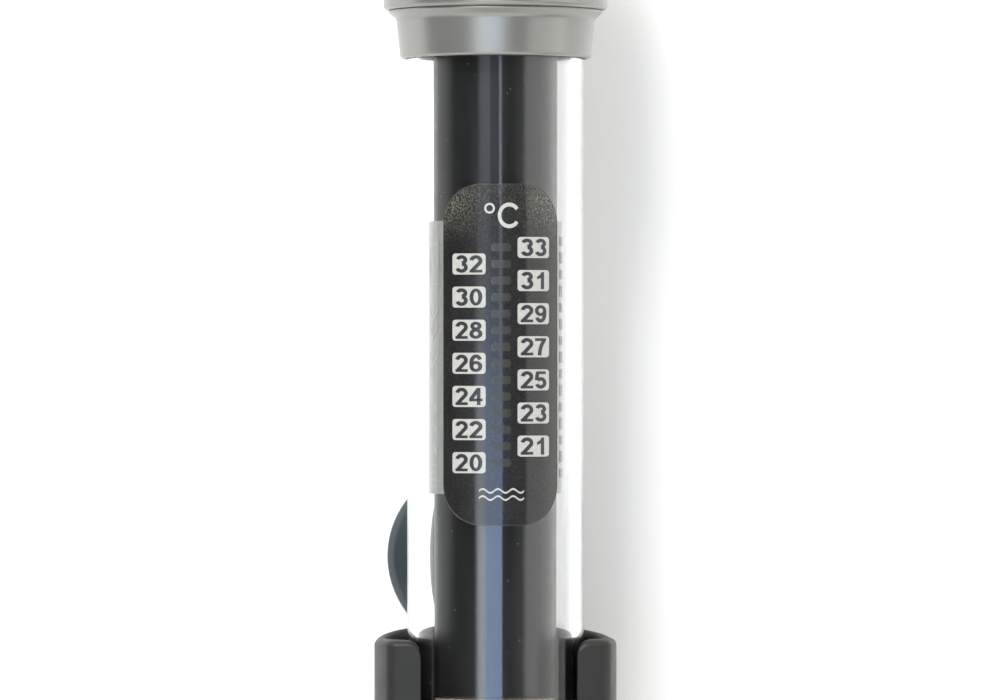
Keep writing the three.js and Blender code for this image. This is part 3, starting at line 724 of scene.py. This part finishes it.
def add_strip_numbers():
    numbers = []
    for side, drop, value in print_rows():
        shift = Vector((side * COLUMN_X * MM, -drop * MM, 0))
        numbers.append(moved(number_bmesh(value, NUMBER_HEIGHT, PRINT_DEPTH), Matrix.Translation(shift)))
    numbers = on_strip(numbers, PRINT_R + 0.02 * MM)
    finish_piece(numbers, "strip_numbers", "heater", "dark_ink")


def add_strip_windows():
    windows = [
        flat_curve([rounded_box(2.8, 1.15, 0.4, -0.1, -drop)], PRINT_DEPTH, PRINT_EDGE)
        for _, drop, _ in print_rows()
    ]
    finish_piece(on_strip(windows), "strip_colour_windows", "heater", "window_ink")


def add_strip_marks():
    """The degree sign and the letter C above the columns, and a plain wave below them."""
    circles = [arc(-1.7, -3.45, radius, 0, 345, 23) for radius in (0.75, 0.47)]
    ring = flat_curve(circles, PRINT_DEPTH, PRINT_EDGE)
    outer = arc(1.05, -4.45, 1.8, 36, 324, 30)
    inner = arc(1.05, -4.45, 1.25, 324, 36, 30)
    narrower = Matrix.Scale(0.9, 4, (1, 0, 0))
    letter = flat_curve([outer + inner], PRINT_DEPTH, PRINT_EDGE)
    moved(letter, narrower, Matrix.Translation((0.12 * MM, 0, 0)))
    waves = []
    for drop in (42.9, 43.9):
        crest = [(-3.2 + 0.2 * i, -drop + 0.28 * math.sin(0.2 * i * math.pi / 1.07)) for i in range(33)]
        trough = [(x, y - 0.26) for x, y in reversed(crest)]
        waves.append(flat_curve([crest + trough], PRINT_DEPTH, PRINT_EDGE))
    finish_piece(on_strip([ring, letter, *waves]), "strip_marks", "heater", "white_ink")


# ---- Head ----

def add_collar():
    bottom, top = low("head_collar").z / MM, high("head_collar").z / MM
    flare = half_width("head_collar") / MM
    bore = TUBE_R / MM + 0.3
    corners = [
        (bore, bottom, 0.25), (13.5, bottom, 0.55), (14.1, top - 1.15, 1.1),
        (flare - 0.35, top - 0.2, 0.25), (flare - 0.45, top, 0.1), (bore, top, 0.1),
    ]
    profile = rounded(corners, closed=True, steps=6)
    finish_piece(revolve(profile, AXIS), "collar_ring", "heater", "grey", ["head_collar"])


HOUSING_TOP = 128.0
HOUSING_R = 15.2
HOUSING_BORE = 12.0
ROOF = 2.5  # thickness over the bore
RECESS = (12.8, 14.8, 102.9)  # two radii and the top of the recess round the tube's seal
JOINT_GAP = 0.04  # between the collar and the head's flange
CABLE_BOSS, DIAL_BOSS = (5.2, 131.5), (4.2, 130.6)  # radius and top
CABLE_BORE, CABLE_SEAT = (3.1, HOUSING_TOP - ROOF - 1), (4.1, 127.8)  # radius and floor
DIAL_BORE, DIAL_SEAT = (1.9, HOUSING_TOP - ROOF - 1), (3.0, 128.4)
LENS_HOLE_R = 2.3


def add_housing():
    """The head's shell: a turned body with a cable boss, a dial boss, an index tooth and bores."""
    bottom = high("head_collar").z / MM + JOINT_GAP
    flange = half_width("head_housing") / MM
    tube_top = high("glass_tube").z / MM
    roof = HOUSING_TOP - ROOF
    inside, outside, recess_top = RECESS
    corners = [
        (0, roof), (HOUSING_BORE, roof, 1), (HOUSING_BORE, tube_top + 0.6, 0.1), (inside, tube_top + 0.6),
        (inside, recess_top), (outside, recess_top), (outside, bottom, 0.15),
        (flange - 0.06, bottom, 0.75), (flange, bottom + 3.4, 0.5), (HOUSING_R, bottom + 3.8, 0.5),
        (HOUSING_R, HOUSING_TOP, 1.4), (0, HOUSING_TOP),
    ]
    body = revolve(rounded(corners, steps=6), AXIS)
    for (radius, top), axis in ((CABLE_BOSS, GLAND_AXIS), (DIAL_BOSS, DIAL_AXIS)):
        boss = rounded([(0, HOUSING_TOP - 1), (radius, HOUSING_TOP - 1), (radius, top, 0.3), (0, top)])
        body = boolean(body, revolve(boss, axis, FINE), "UNION")
    body = boolean(body, index_tooth(), "UNION")
    # Each wide seat is cut before its narrow bore, or the boolean leaves a skin across the bore.
    bores = [(CABLE_SEAT, GLAND_AXIS), (CABLE_BORE, GLAND_AXIS)]
    bores += [(DIAL_SEAT, DIAL_AXIS), (DIAL_BORE, DIAL_AXIS)]
    for (radius, floor), axis in bores:
        body = boolean(body, rod(radius * MM, floor * MM, (HOUSING_TOP + 6) * MM, axis), "DIFFERENCE")
    lens_z = centre("indicator_lens").z
    hole = rod(LENS_HOLE_R * MM, TUBE.y - 18 * MM, TUBE.y - 9 * MM, (TUBE.x, lens_z), FINE, "Y")
    body = boolean(body, hole, "DIFFERENCE")
    finish_piece(body, "head_shell", "heater", "grey", ["head_housing"], 30)


def index_tooth():
    """The pointed rib on the head's front, where the dial's numbers are read."""
    outline = [(-1.1, 125), (1.1, 125), (1.1, 130.7), (0, 132.2), (-1.1, 130.7)]
    tooth = flat_curve([outline], 1.8, 0.15)
    turn = Matrix.Rotation(math.pi / 2, 4, "X")
    return moved(tooth, turn, Matrix.Translation((TUBE.x, TUBE.y - 14.8 * MM, 0)))


def add_gland():
    """The hollow screw over the cable inlet, with ribs for the fingers."""
    bottom, top = low("cable_gland").z / MM, high("cable_gland").z / MM
    radius = half_width("cable_gland") / MM
    corners = [
        (3.1, bottom, 0.15), (3.8, bottom, 0.15), (3.8, bottom + 1.8), (radius, bottom + 1.8, 0.25),
        (radius, top, 0.8), (3.1, top, 0.5),
    ]

    def ribbed(r, height, angle):
        on_head = bottom + 2.6 < height / MM and r > 4.2 * MM
        return r - 0.32 * MM * (0.5 - 0.5 * math.cos(20 * angle)) ** 0.6 if on_head else r

    profile = rounded(corners, closed=True, steps=5)
    bm = revolve(profile, GLAND_AXIS, 240, radius_of=ribbed)
    finish_piece(bm, "gland_screw", "heater", "black", ["cable_gland"], 40)


def add_lens():
    front, back = low("indicator_lens").y / MM, high("indicator_lens").y / MM
    z = centre("indicator_lens").z
    dome = [
        (0, front), (0.9, front + 0.08), (1.6, front + 0.4), (2, front + 1.1, 0.2), (2, back, 0.2), (0, back),
    ]
    bm = revolve(rounded(dome), (TUBE.x, z), FINE, "Y")
    finish_piece(bm, "lamp_window", "heater", "amber", ["indicator_lens"])


# ---- Dial ----

KNOB_LOW = low("temperature_knob").z / MM
KNOB_HIGH = high("temperature_knob").z / MM
KNOB_SKIRT = half_width("temperature_knob") / MM
KNOB_BORE, KNOB_SOCKET = 1.9, 141  # radius and top of the hole for the spindle
GRIP_R = 6.0
INSERT_R, INSERT_DEPTH = 3.4, 1.2  # the recess for the insert
FLUTES = 14
FLUTE_DEPTH = 0.55


def add_knob():
    corners = [
        (0, KNOB_SOCKET), (KNOB_BORE, KNOB_SOCKET), (KNOB_BORE, KNOB_LOW, 0.1), (KNOB_SKIRT, KNOB_LOW, 0.2),
        (KNOB_SKIRT, KNOB_LOW + 1, 0.3), (6.5, KNOB_LOW + 4.6, 0.5), (6.2, KNOB_LOW + 5.6, 0.3),
        (GRIP_R, KNOB_LOW + 6.4), (5.9, KNOB_HIGH, 0.9), (INSERT_R, KNOB_HIGH, 0.25),
        (INSERT_R, KNOB_HIGH - INSERT_DEPTH), (0, KNOB_HIGH - INSERT_DEPTH),
    ]
    profile = rounded(corners, steps=5)
    foot = min(z for r, z in profile if r > 5 * MM and z > (KNOB_LOW + 5) * MM)
    head = (KNOB_HIGH - 1) * MM
    steps = 6
    rise = [(GRIP_R * MM - 0.1 * MM * i / steps, foot + (head - foot) * i / steps) for i in range(1, steps)]
    profile = [p for p in profile if p[1] <= foot] + rise + [p for p in profile if p[1] > foot]

    def fluted(r, height, angle):
        above_foot = height - (KNOB_LOW + 5.2) * MM
        if r < 4.5 * MM or above_foot < 0:
            return r
        fade = min(1.0, above_foot / (0.8 * MM))
        return r - FLUTE_DEPTH * MM * fade * (0.5 - 0.5 * math.cos(FLUTES * angle)) ** 2

    bm = revolve(profile, DIAL_AXIS, FLUTES * 20, radius_of=fluted)
    finish_piece(bm, "dial_knob", "dial", "black", ["temperature_knob"], 40)


def add_knob_insert():
    bottom, top = low("knob_insert").z / MM, high("knob_insert").z / MM
    corners = [(0, bottom), (3.1, bottom, 0.1), (3.1, top - 0.45, 0.2), (1.6, top - 0.06, 1.0), (0, top)]
    bm = revolve(rounded(corners), DIAL_AXIS, FINE)
    finish_piece(bm, "dial_insert", "dial", "pale", ["knob_insert"])


DIAL_NUMBER_HEIGHT = 1.7
DIAL_STOP, DIAL_STEP = 140, 35  # degrees to the first number, and from one to the next


def add_dial_numbers():
    """Even numbers of degrees round the knob's sloping skirt, read at the pointed rib."""
    slope_low = Vector((KNOB_SKIRT - 0.12, KNOB_LOW + 1.25))
    slope_high = Vector((6.6, KNOB_LOW + 4.5))
    slope = slope_high - slope_low
    lean = math.atan2(-slope.x, slope.y)
    middle = slope_low + slope * 0.5
    parts = []
    for i, value in enumerate(range(18, 35, 2)):
        digits = number_bmesh(value, DIAL_NUMBER_HEIGHT, 0.05)
        stand = Matrix.Rotation(math.pi / 2 - lean, 4, "X")
        out = Matrix.Translation((0, -(middle.x + 0.03) * MM, middle.y * MM))
        turn = Matrix.Rotation(math.radians(DIAL_STOP - DIAL_STEP * i), 4, "Z")
        parts.append(moved(digits, stand, out, turn, Matrix.Translation((*DIAL_AXIS, 0))))
    finish_piece(merged(parts), "dial_numbers", "dial", "white_ink")


# ---- Holder ----

CLIP = {"outer": 17.18, "inner": 14.8, "grip": 12.8, "mouth": 11.1, "lip_front": -7.9, "edge": 2.0}
LIP_SLANT = 0.24  # the lip's face falls back this far from its inner to its outer side
CLIP_HALF, CLIP_BACK_HALF = 11.4, 12.6
LIP_CORNER = 1.8


def clip_half_height(x, y):
    """Half the clip's height at a place in plan, from the tube's axis: taller at the back, round lips."""
    ramp = min(1.0, max(0.0, (y - 2) / 11))
    half = CLIP_HALF + (CLIP_BACK_HALF - CLIP_HALF) * ramp
    short = CLIP["mouth"] + LIP_CORNER - abs(x)
    if y < -3 and short > 0:
        half -= LIP_CORNER - math.sqrt(max(0.0, LIP_CORNER ** 2 - short ** 2))
    return half


def clip_outline():
    lip = -math.degrees(math.acos(CLIP["mouth"] / CLIP["grip"]))
    edge = CLIP["edge"]
    edge_y = CLIP["lip_front"] + LIP_SLANT + edge
    edge_x = math.sqrt((CLIP["outer"] - edge) ** 2 - edge_y ** 2)
    turn = math.degrees(math.atan2(edge_y, edge_x))
    steps = 14
    face = [
        (edge_x + (CLIP["mouth"] - edge_x) * i / steps, CLIP["lip_front"] + LIP_SLANT * (1 - i / steps))
        for i in range(1, steps + 1)
    ]
    right = arc(0, 0, CLIP["outer"], 89.5, turn, 60) + arc(edge_x, edge_y, edge, turn, -90, 12)[1:]
    right += face + arc(0, 0, CLIP["grip"], lip, -14, 10)
    right += arc(0, 0, CLIP["inner"], -4, 56, 32) + [(6, CLIP["grip"])]
    return right + [(-x, y) for x, y in reversed(right)]


def add_bracket():
    """The holder is one moulding: spring clip, spacer, gussets and back plate."""
    ring = flat_curve([clip_outline()], 2 * CLIP_HALF, 0.9)
    for v in ring.verts:
        x, y = v.co.x / MM, v.co.y / MM
        v.co.z *= clip_half_height(x, y) / CLIP_HALF
    moved(ring, Matrix.Translation((TUBE.x, TUBE.y, 0)))
    front, back = -14.0, high("holder_bracket").y / MM
    half_length = high("holder_bracket").z / MM
    holes = [arc(0, side * 22, 2.6, 0, 350, 35) for side in (1, -1)]
    stadium = arc(0, half_length - 7, 7, 0, 180, 24) + arc(0, 7 - half_length, 7, 180, 360, 24)
    plate = flat_curve([stadium, *holes], back - front, 0.4)
    moved(plate, Matrix.Rotation(math.pi / 2, 4, "X"), Matrix.Translation((0, (front + back) / 2 * MM, 0)))
    spacer = flat_curve([rounded_box(9, 6.4, 0.5, 0, -16.4)], 2 * CLIP_BACK_HALF, 0.35)
    body = boolean(boolean(ring, plate, "UNION"), spacer, "UNION")
    for side in (1, -1):
        foot, tip = side * 11.6, side * 16.8
        web = flat_curve([[(-18, foot), (-13, foot), (-13, tip)]], 2, 0.2)
        basis = Matrix(((0, 0, 1, 0), (1, 0, 0, 0), (0, 1, 0, 0), (0, 0, 0, 1)))
        body = boolean(body, moved(web, basis), "UNION")
    finish_piece(body, "clip_and_plate", "holder", "black", ["holder_bracket"], 34)


def cup_profile():
    """(radius, y) from the knob at the front, in by the neck, out over the cup and back into its hollow."""
    corners = [
        (0, -17.2), (3.4, -16.9, 1.2), (4.2, -15.4, 0.8), (3.95, -14.3, 0.25), (2.3, -14.3, 0.1),
        (2.3, -11.3, 0.1), (4.2, -11.3, 0.4), (4.2, -7.4, 0.8), (5.6, -6.5, 2), (9.4, -4.1, 6),
        (12.6, -1.7, 2.5), (13.4, -0.6, 0.5), (13.5, 0, 0.15), (11.9, 0, 0.2), (10.4, -0.75, 2),
        (6.6, -2.9, 5), (2.5, -3.5, 2), (0, -3.5),
    ]
    return rounded(corners, steps=6)


def add_cups():
    for name, body in (("upper_suction_cup", "upper_cup"), ("lower_suction_cup", "lower_cup")):
        place = centre(name)
        bm = revolve(cup_profile(), (place.x, place.z), 128, "Y")
        finish_piece(bm, name.replace("_suction_", "_vinyl_"), body, "vinyl", [name], 40)


# ---- Heating element ----

def add_element():
    cap_low, cap_high = low("element_top_cap").z / MM, high("element_top_cap").z / MM
    cap_r = half_width("element_top_cap") / MM
    shoulder = low("inner_sleeve").z / MM - 0.3
    corners = [
        (0.8, cap_low, 0.15), (cap_r, cap_low, 0.4), (cap_r, shoulder, 0.3), (7.4, shoulder),
        (7.4, cap_high, 0.4), (0.8, cap_high, 0.15),
    ]
    cap = revolve(rounded(corners, closed=True), AXIS, 128)
    finish_piece(cap, "top_cap_ceramic", "heater", "ceramic", ["element_top_cap"])
    disc_low, disc_high = low("element_bottom_disc").z / MM, high("element_bottom_disc").z / MM
    disc_r = half_width("element_bottom_disc") / MM
    corners = [(0.8, disc_low, 0.2), (disc_r, disc_low, 0.4), (disc_r, disc_high, 0.4), (0.8, disc_high, 0.2)]
    disc = revolve(rounded(corners, closed=True), AXIS, 128)
    finish_piece(disc, "bottom_disc_ceramic", "heater", "ceramic", ["element_bottom_disc"])


def add_core():
    """The ceramic former: round ribs along a rod, with a bore for the long lead."""
    bottom, top = low("element_core").z / MM, high("element_core").z / MM
    outline = []
    for i in range(160):
        angle = 2 * math.pi * i / 160
        radius = 5.05 + 0.35 * math.tanh(3 * math.cos(8 * angle))
        outline.append((radius * math.cos(angle), radius * math.sin(angle)))
    core = flat_curve([outline, arc(0, 0, 0.9, 0, 350, 35)], top - bottom, 0.25)
    moved(core, Matrix.Translation((TUBE.x, TUBE.y, (top + bottom) / 2 * MM)))
    finish_piece(core, "ribbed_core", "heater", "ceramic", ["element_core"])


def sweep(points, radius, name, body, material, replaces=(), sides=3):
    """A round wire through the points, in metres."""
    curve = bpy.data.curves.new(name, "CURVE")
    curve.dimensions = "3D"
    curve.bevel_depth = radius
    curve.bevel_resolution = sides
    curve.use_fill_caps = True
    spline = curve.splines.new("POLY")
    spline.points.add(len(points) - 1)
    for point, place in zip(spline.points, points):
        point.co = (*place, 1)
    finish_piece(curve_bmesh(curve), name, body, material, replaces, 50)


def add_coil():
    """Resistance wire wound on the ribs, closer than the frame's plain coil."""
    top, bottom = high("heating_coil").z - 0.6 * MM, low("heating_coil").z + 0.6 * MM
    radius, turns, per_turn = 6.05 * MM, 34, 36
    points = []
    for i in range(turns * per_turn + 1):
        angle = 2 * math.pi * i / per_turn
        height = top + (bottom - top) * i / (turns * per_turn)
        points.append((TUBE.x + radius * math.cos(angle), TUBE.y + radius * math.sin(angle), height))
    sweep(points, 0.36 * MM, "wound_wire", "heater", "wire", ["heating_coil"], 2)


def add_cushion():
    radius = half_width("end_cushion") / MM
    top = high("end_cushion").z / MM
    dome = low("end_cushion").z / MM + radius
    profile = arc(0, dome, radius, -90, 0, 24)[:-1] + [(radius, dome)]
    profile += [(radius, top - 0.6), (radius - 0.2, top - 0.15), (radius - 0.6, top), (0, top)]
    profile = [(max(r, 0) * MM, z * MM) for r, z in profile]
    bm = revolve(profile, AXIS)
    finish_piece(bm, "foot_cushion", "heater", "rubber", ["end_cushion"], 40)


# ---- Frame parts that keep their shape ----

KEPT = {
    "tube_seal_ring": "rubber", "tube_bung": "rubber", "cable_grommet": "rubber",
    "spindle_seal_ring": "rubber", "neon_lamp": "glass", "lamp_resistor": "ceramic",
    "knob_spindle": "steel", "spindle_clip": "steel", "adjusting_cam": "pale",
    "thermostat_board": "board", "cam_bearing": "steel", "anchor_block": "board",
    "contact_arm": "copper", "bimetal_strip": "steel", "arm_contact": "steel",
    "bimetal_contact": "steel", "snap_magnet": "black", "suppression_capacitor": "blue",
    "thermal_fuse": "steel", "live_lead": "blue", "neutral_lead": "blue", "short_element_lead": "copper",
    "long_element_lead": "copper",
}


def dress_frame():
    for node, material in KEPT.items():
        mesh_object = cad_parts[node]
        mesh_object.data.materials.clear()
        mesh_object.data.materials.append(MATERIALS[material])


# ---- Stage and light ----

WALL_LOW, WALL_HIGH, WALL_HALF = -0.4, 0.6, 0.45
WALL_Y = 0.4 * MM
WALL_HOLE_R = 12.6  # inside a cup's rim, mm
WALL_PAINT = rgb(0.86, 0.86, 0.845)
WALL_GLOW = rgb(0.13, 0.128, 0.116)  # light from all round the room, which the key and the tent leave out


def wall_paint():
    """Matt white paint on a one-sided sheet, which shows nothing from behind."""
    tree = Tree(bpy.data.materials.new("wall_paint"))
    paint = tree.nodes["Principled BSDF"]
    paint.inputs["Base Color"].default_value = WALL_PAINT
    paint.inputs["Emission Color"].default_value = WALL_GLOW
    paint.inputs["Emission Strength"].default_value = 1.0
    paint.inputs["Roughness"].default_value = 0.9
    paint.inputs["Specular IOR Level"].default_value = 0.1
    behind = tree.add("ShaderNodeNewGeometry").outputs["Backfacing"]
    clear = tree.add("ShaderNodeBsdfTransparent")
    mix = tree.add("ShaderNodeMixShader", {0: behind, 1: paint.outputs[0], 2: clear.outputs[0]})
    tree.links.new(mix.outputs[0], tree.nodes["Material Output"].inputs[0])
    return tree.owner


def stage_sheet(bm, name):
    mesh = bpy.data.meshes.new(name)
    bm.to_mesh(mesh)
    bm.free()
    mesh.materials.append(wall_paint())
    sheet = bpy.data.objects.new(name, mesh)
    bpy.context.scene.collection.objects.link(sheet)


def add_floor():
    bm = bmesh.new()
    corners = [(-WALL_HALF, 0), (-WALL_HALF, -2 * WALL_HALF), (WALL_HALF, -2 * WALL_HALF), (WALL_HALF, 0)]
    bm.faces.new([bm.verts.new((x, y, WALL_LOW)) for x, y in corners])
    stage_sheet(bm, "floor")


def add_wall():
    """The wall, left out inside the two cups so that their hollows can be seen from behind."""
    edge = [(-WALL_HALF, WALL_LOW), (WALL_HALF, WALL_LOW), (WALL_HALF, WALL_HIGH), (-WALL_HALF, WALL_HIGH)]
    outlines = [[(x / MM, z / MM) for x, z in edge]]
    for cup in ("upper_suction_cup", "lower_suction_cup"):
        place = centre(cup)
        outlines.append(arc(place.x / MM, place.z / MM, WALL_HOLE_R, 0, 354, 59))
    bm = flat_curve(outlines, 0, 0)
    moved(bm, Matrix.Rotation(math.pi / 2, 4, "X"), Matrix.Translation((0, WALL_Y, 0)))
    for face in bm.faces:
        if face.normal.y > 0:
            face.normal_flip()
    stage_sheet(bm, "wall")


DARK = rgb(0.09, 0.09, 0.09)
SCREEN_DIM = rgb(1.2, 1.2, 1.17)
SCREEN = rgb(2.1, 2.1, 2.05)
TENT = rgb(1.25, 1.25, 1.21)
CEILING = rgb(0.62, 0.62, 0.62)
WINDOW_PALE = rgb(3.0, 3.25, 3.7)
WINDOW_BLUE = rgb(1.75, 2.5, 4.0)
WINDOW_SILL = rgb(2.5, 2.5, 2.45)
WINDOW_HIGH = rgb(0.55, 0.58, 0.64)
SLIT = rgb(1.7, 1.75, 1.9)


def ramp(tree, factor, stops):
    """A colour ramp over the compass, from (degrees from the camera's direction, colour) stops."""
    node = tree.add("ShaderNodeValToRGB")
    tree.links.new(factor, node.inputs[0])
    elements = node.color_ramp.elements
    while len(elements) < len(stops):
        elements.new(0.5)
    for element, (degrees, colour) in zip(elements, stops):
        element.position = 0.5 + degrees / 360
        element.color = colour
    return node.outputs[0]


def add_world():
    """A white tent with a dark room in front at eye level, a window in it, and a pale screen at right."""
    world = bpy.data.worlds.new("studio")
    bpy.context.scene.world = world
    tree = Tree(world)
    background = tree.nodes["Background"]
    place = tree.add("ShaderNodeSeparateXYZ", {0: tree.add("ShaderNodeTexCoord").outputs["Generated"]})
    x, y, z = place.outputs
    compass = tree.math("ARCTAN2", x, tree.math("MULTIPLY", y, -1.0))
    compass = tree.math("SUBTRACT", compass, CAMERA_AZIMUTH)
    compass = tree.math("ADD", tree.math("DIVIDE", compass, 2 * math.pi), 0.5)
    left_side = [(-180, TENT), (-91, TENT), (-89, DARK)]
    right_side = [(38, DARK), (42, SCREEN_DIM), (62, SCREEN_DIM), (90, SCREEN), (92, TENT), (180, TENT)]
    window = [(-28, DARK), (-22, WINDOW_PALE), (-15, WINDOW_PALE), (-11, WINDOW_BLUE)]
    window += [(8.5, WINDOW_BLUE), (9.5, DARK)]
    lower = ramp(tree, compass, left_side + window + right_side)
    sill = [(-34, DARK), (-16, WINDOW_SILL), (6, WINDOW_SILL), (16, DARK)]
    below = ramp(tree, compass, left_side + sill + right_side)
    lower = tree.mix(tree.map(z, -0.12, -0.2, 0, 1, True), lower, below)
    slats = [(-23, DARK), (-22, WINDOW_HIGH), (-8, WINDOW_HIGH), (-6, DARK)]
    slit = [(4.5, DARK), (5.5, SLIT), (8, SLIT), (9, DARK)]
    upper = ramp(tree, compass, left_side + slats + slit + right_side)
    band = tree.mix(tree.map(z, -0.02, 0.02, 0, 1, True), lower, upper)
    height = tree.math("ABSOLUTE", z)
    front = tree.map(y, 0.0, 0.12, 0, 1, True)
    above = tree.mix(front, CEILING, TENT)
    colour = tree.mix(tree.map(height, 0.3, 0.46, 0, 1, True), band, above)
    path = tree.add("ShaderNodeLightPath")
    bounced = tree.math("ADD", path.outputs["Glossy Depth"], path.outputs["Diffuse Depth"], clamp=True)
    tree.links.new(tree.mix(bounced, rgb(1, 1, 1), colour), background.inputs["Color"])


KEY_AZIMUTH, KEY_ELEVATION, KEY_DISTANCE = math.radians(-24), math.radians(38), 1.4


def add_key_light():
    """One soft box, up and to the left, which throws the heater's shadow on the wall at its right."""
    data = bpy.data.lights.new("key", "AREA")
    data.shape = "SQUARE"
    data.size = 0.5
    data.energy = 24
    key = bpy.data.objects.new("key", data)
    bpy.context.scene.collection.objects.link(key)
    out = Vector((math.sin(KEY_AZIMUTH), -math.cos(KEY_AZIMUTH), math.tan(KEY_ELEVATION))).normalized()
    aim = Vector((TUBE.x, TUBE.y, EYE_LEVEL))
    key.location = aim + KEY_DISTANCE * out
    key.rotation_euler = out.to_track_quat("Z", "Y").to_euler()


# ---- Build ----

add_camera()
add_tube()
add_sleeve()
add_label()
add_strip()
add_strip_boxes()
add_strip_numbers()
add_strip_windows()
add_strip_marks()
add_collar()
add_housing()
add_gland()
add_lens()
add_knob()
add_knob_insert()
add_dial_numbers()
add_bracket()
add_cups()
add_element()
add_core()
add_coil()
add_cushion()
dress_frame()
add_floor()
add_wall()
add_world()
add_key_light()

view = bpy.context.scene.view_settings
view.view_transform = "Standard"
view.look = "None"
bpy.context.scene.cycles.max_bounces = 16
bpy.context.scene.cycles.transmission_bounces = 14
bpy.context.scene.cycles.glossy_bounces = 8
bpy.context.scene.cycles.transparent_max_bounces = 16
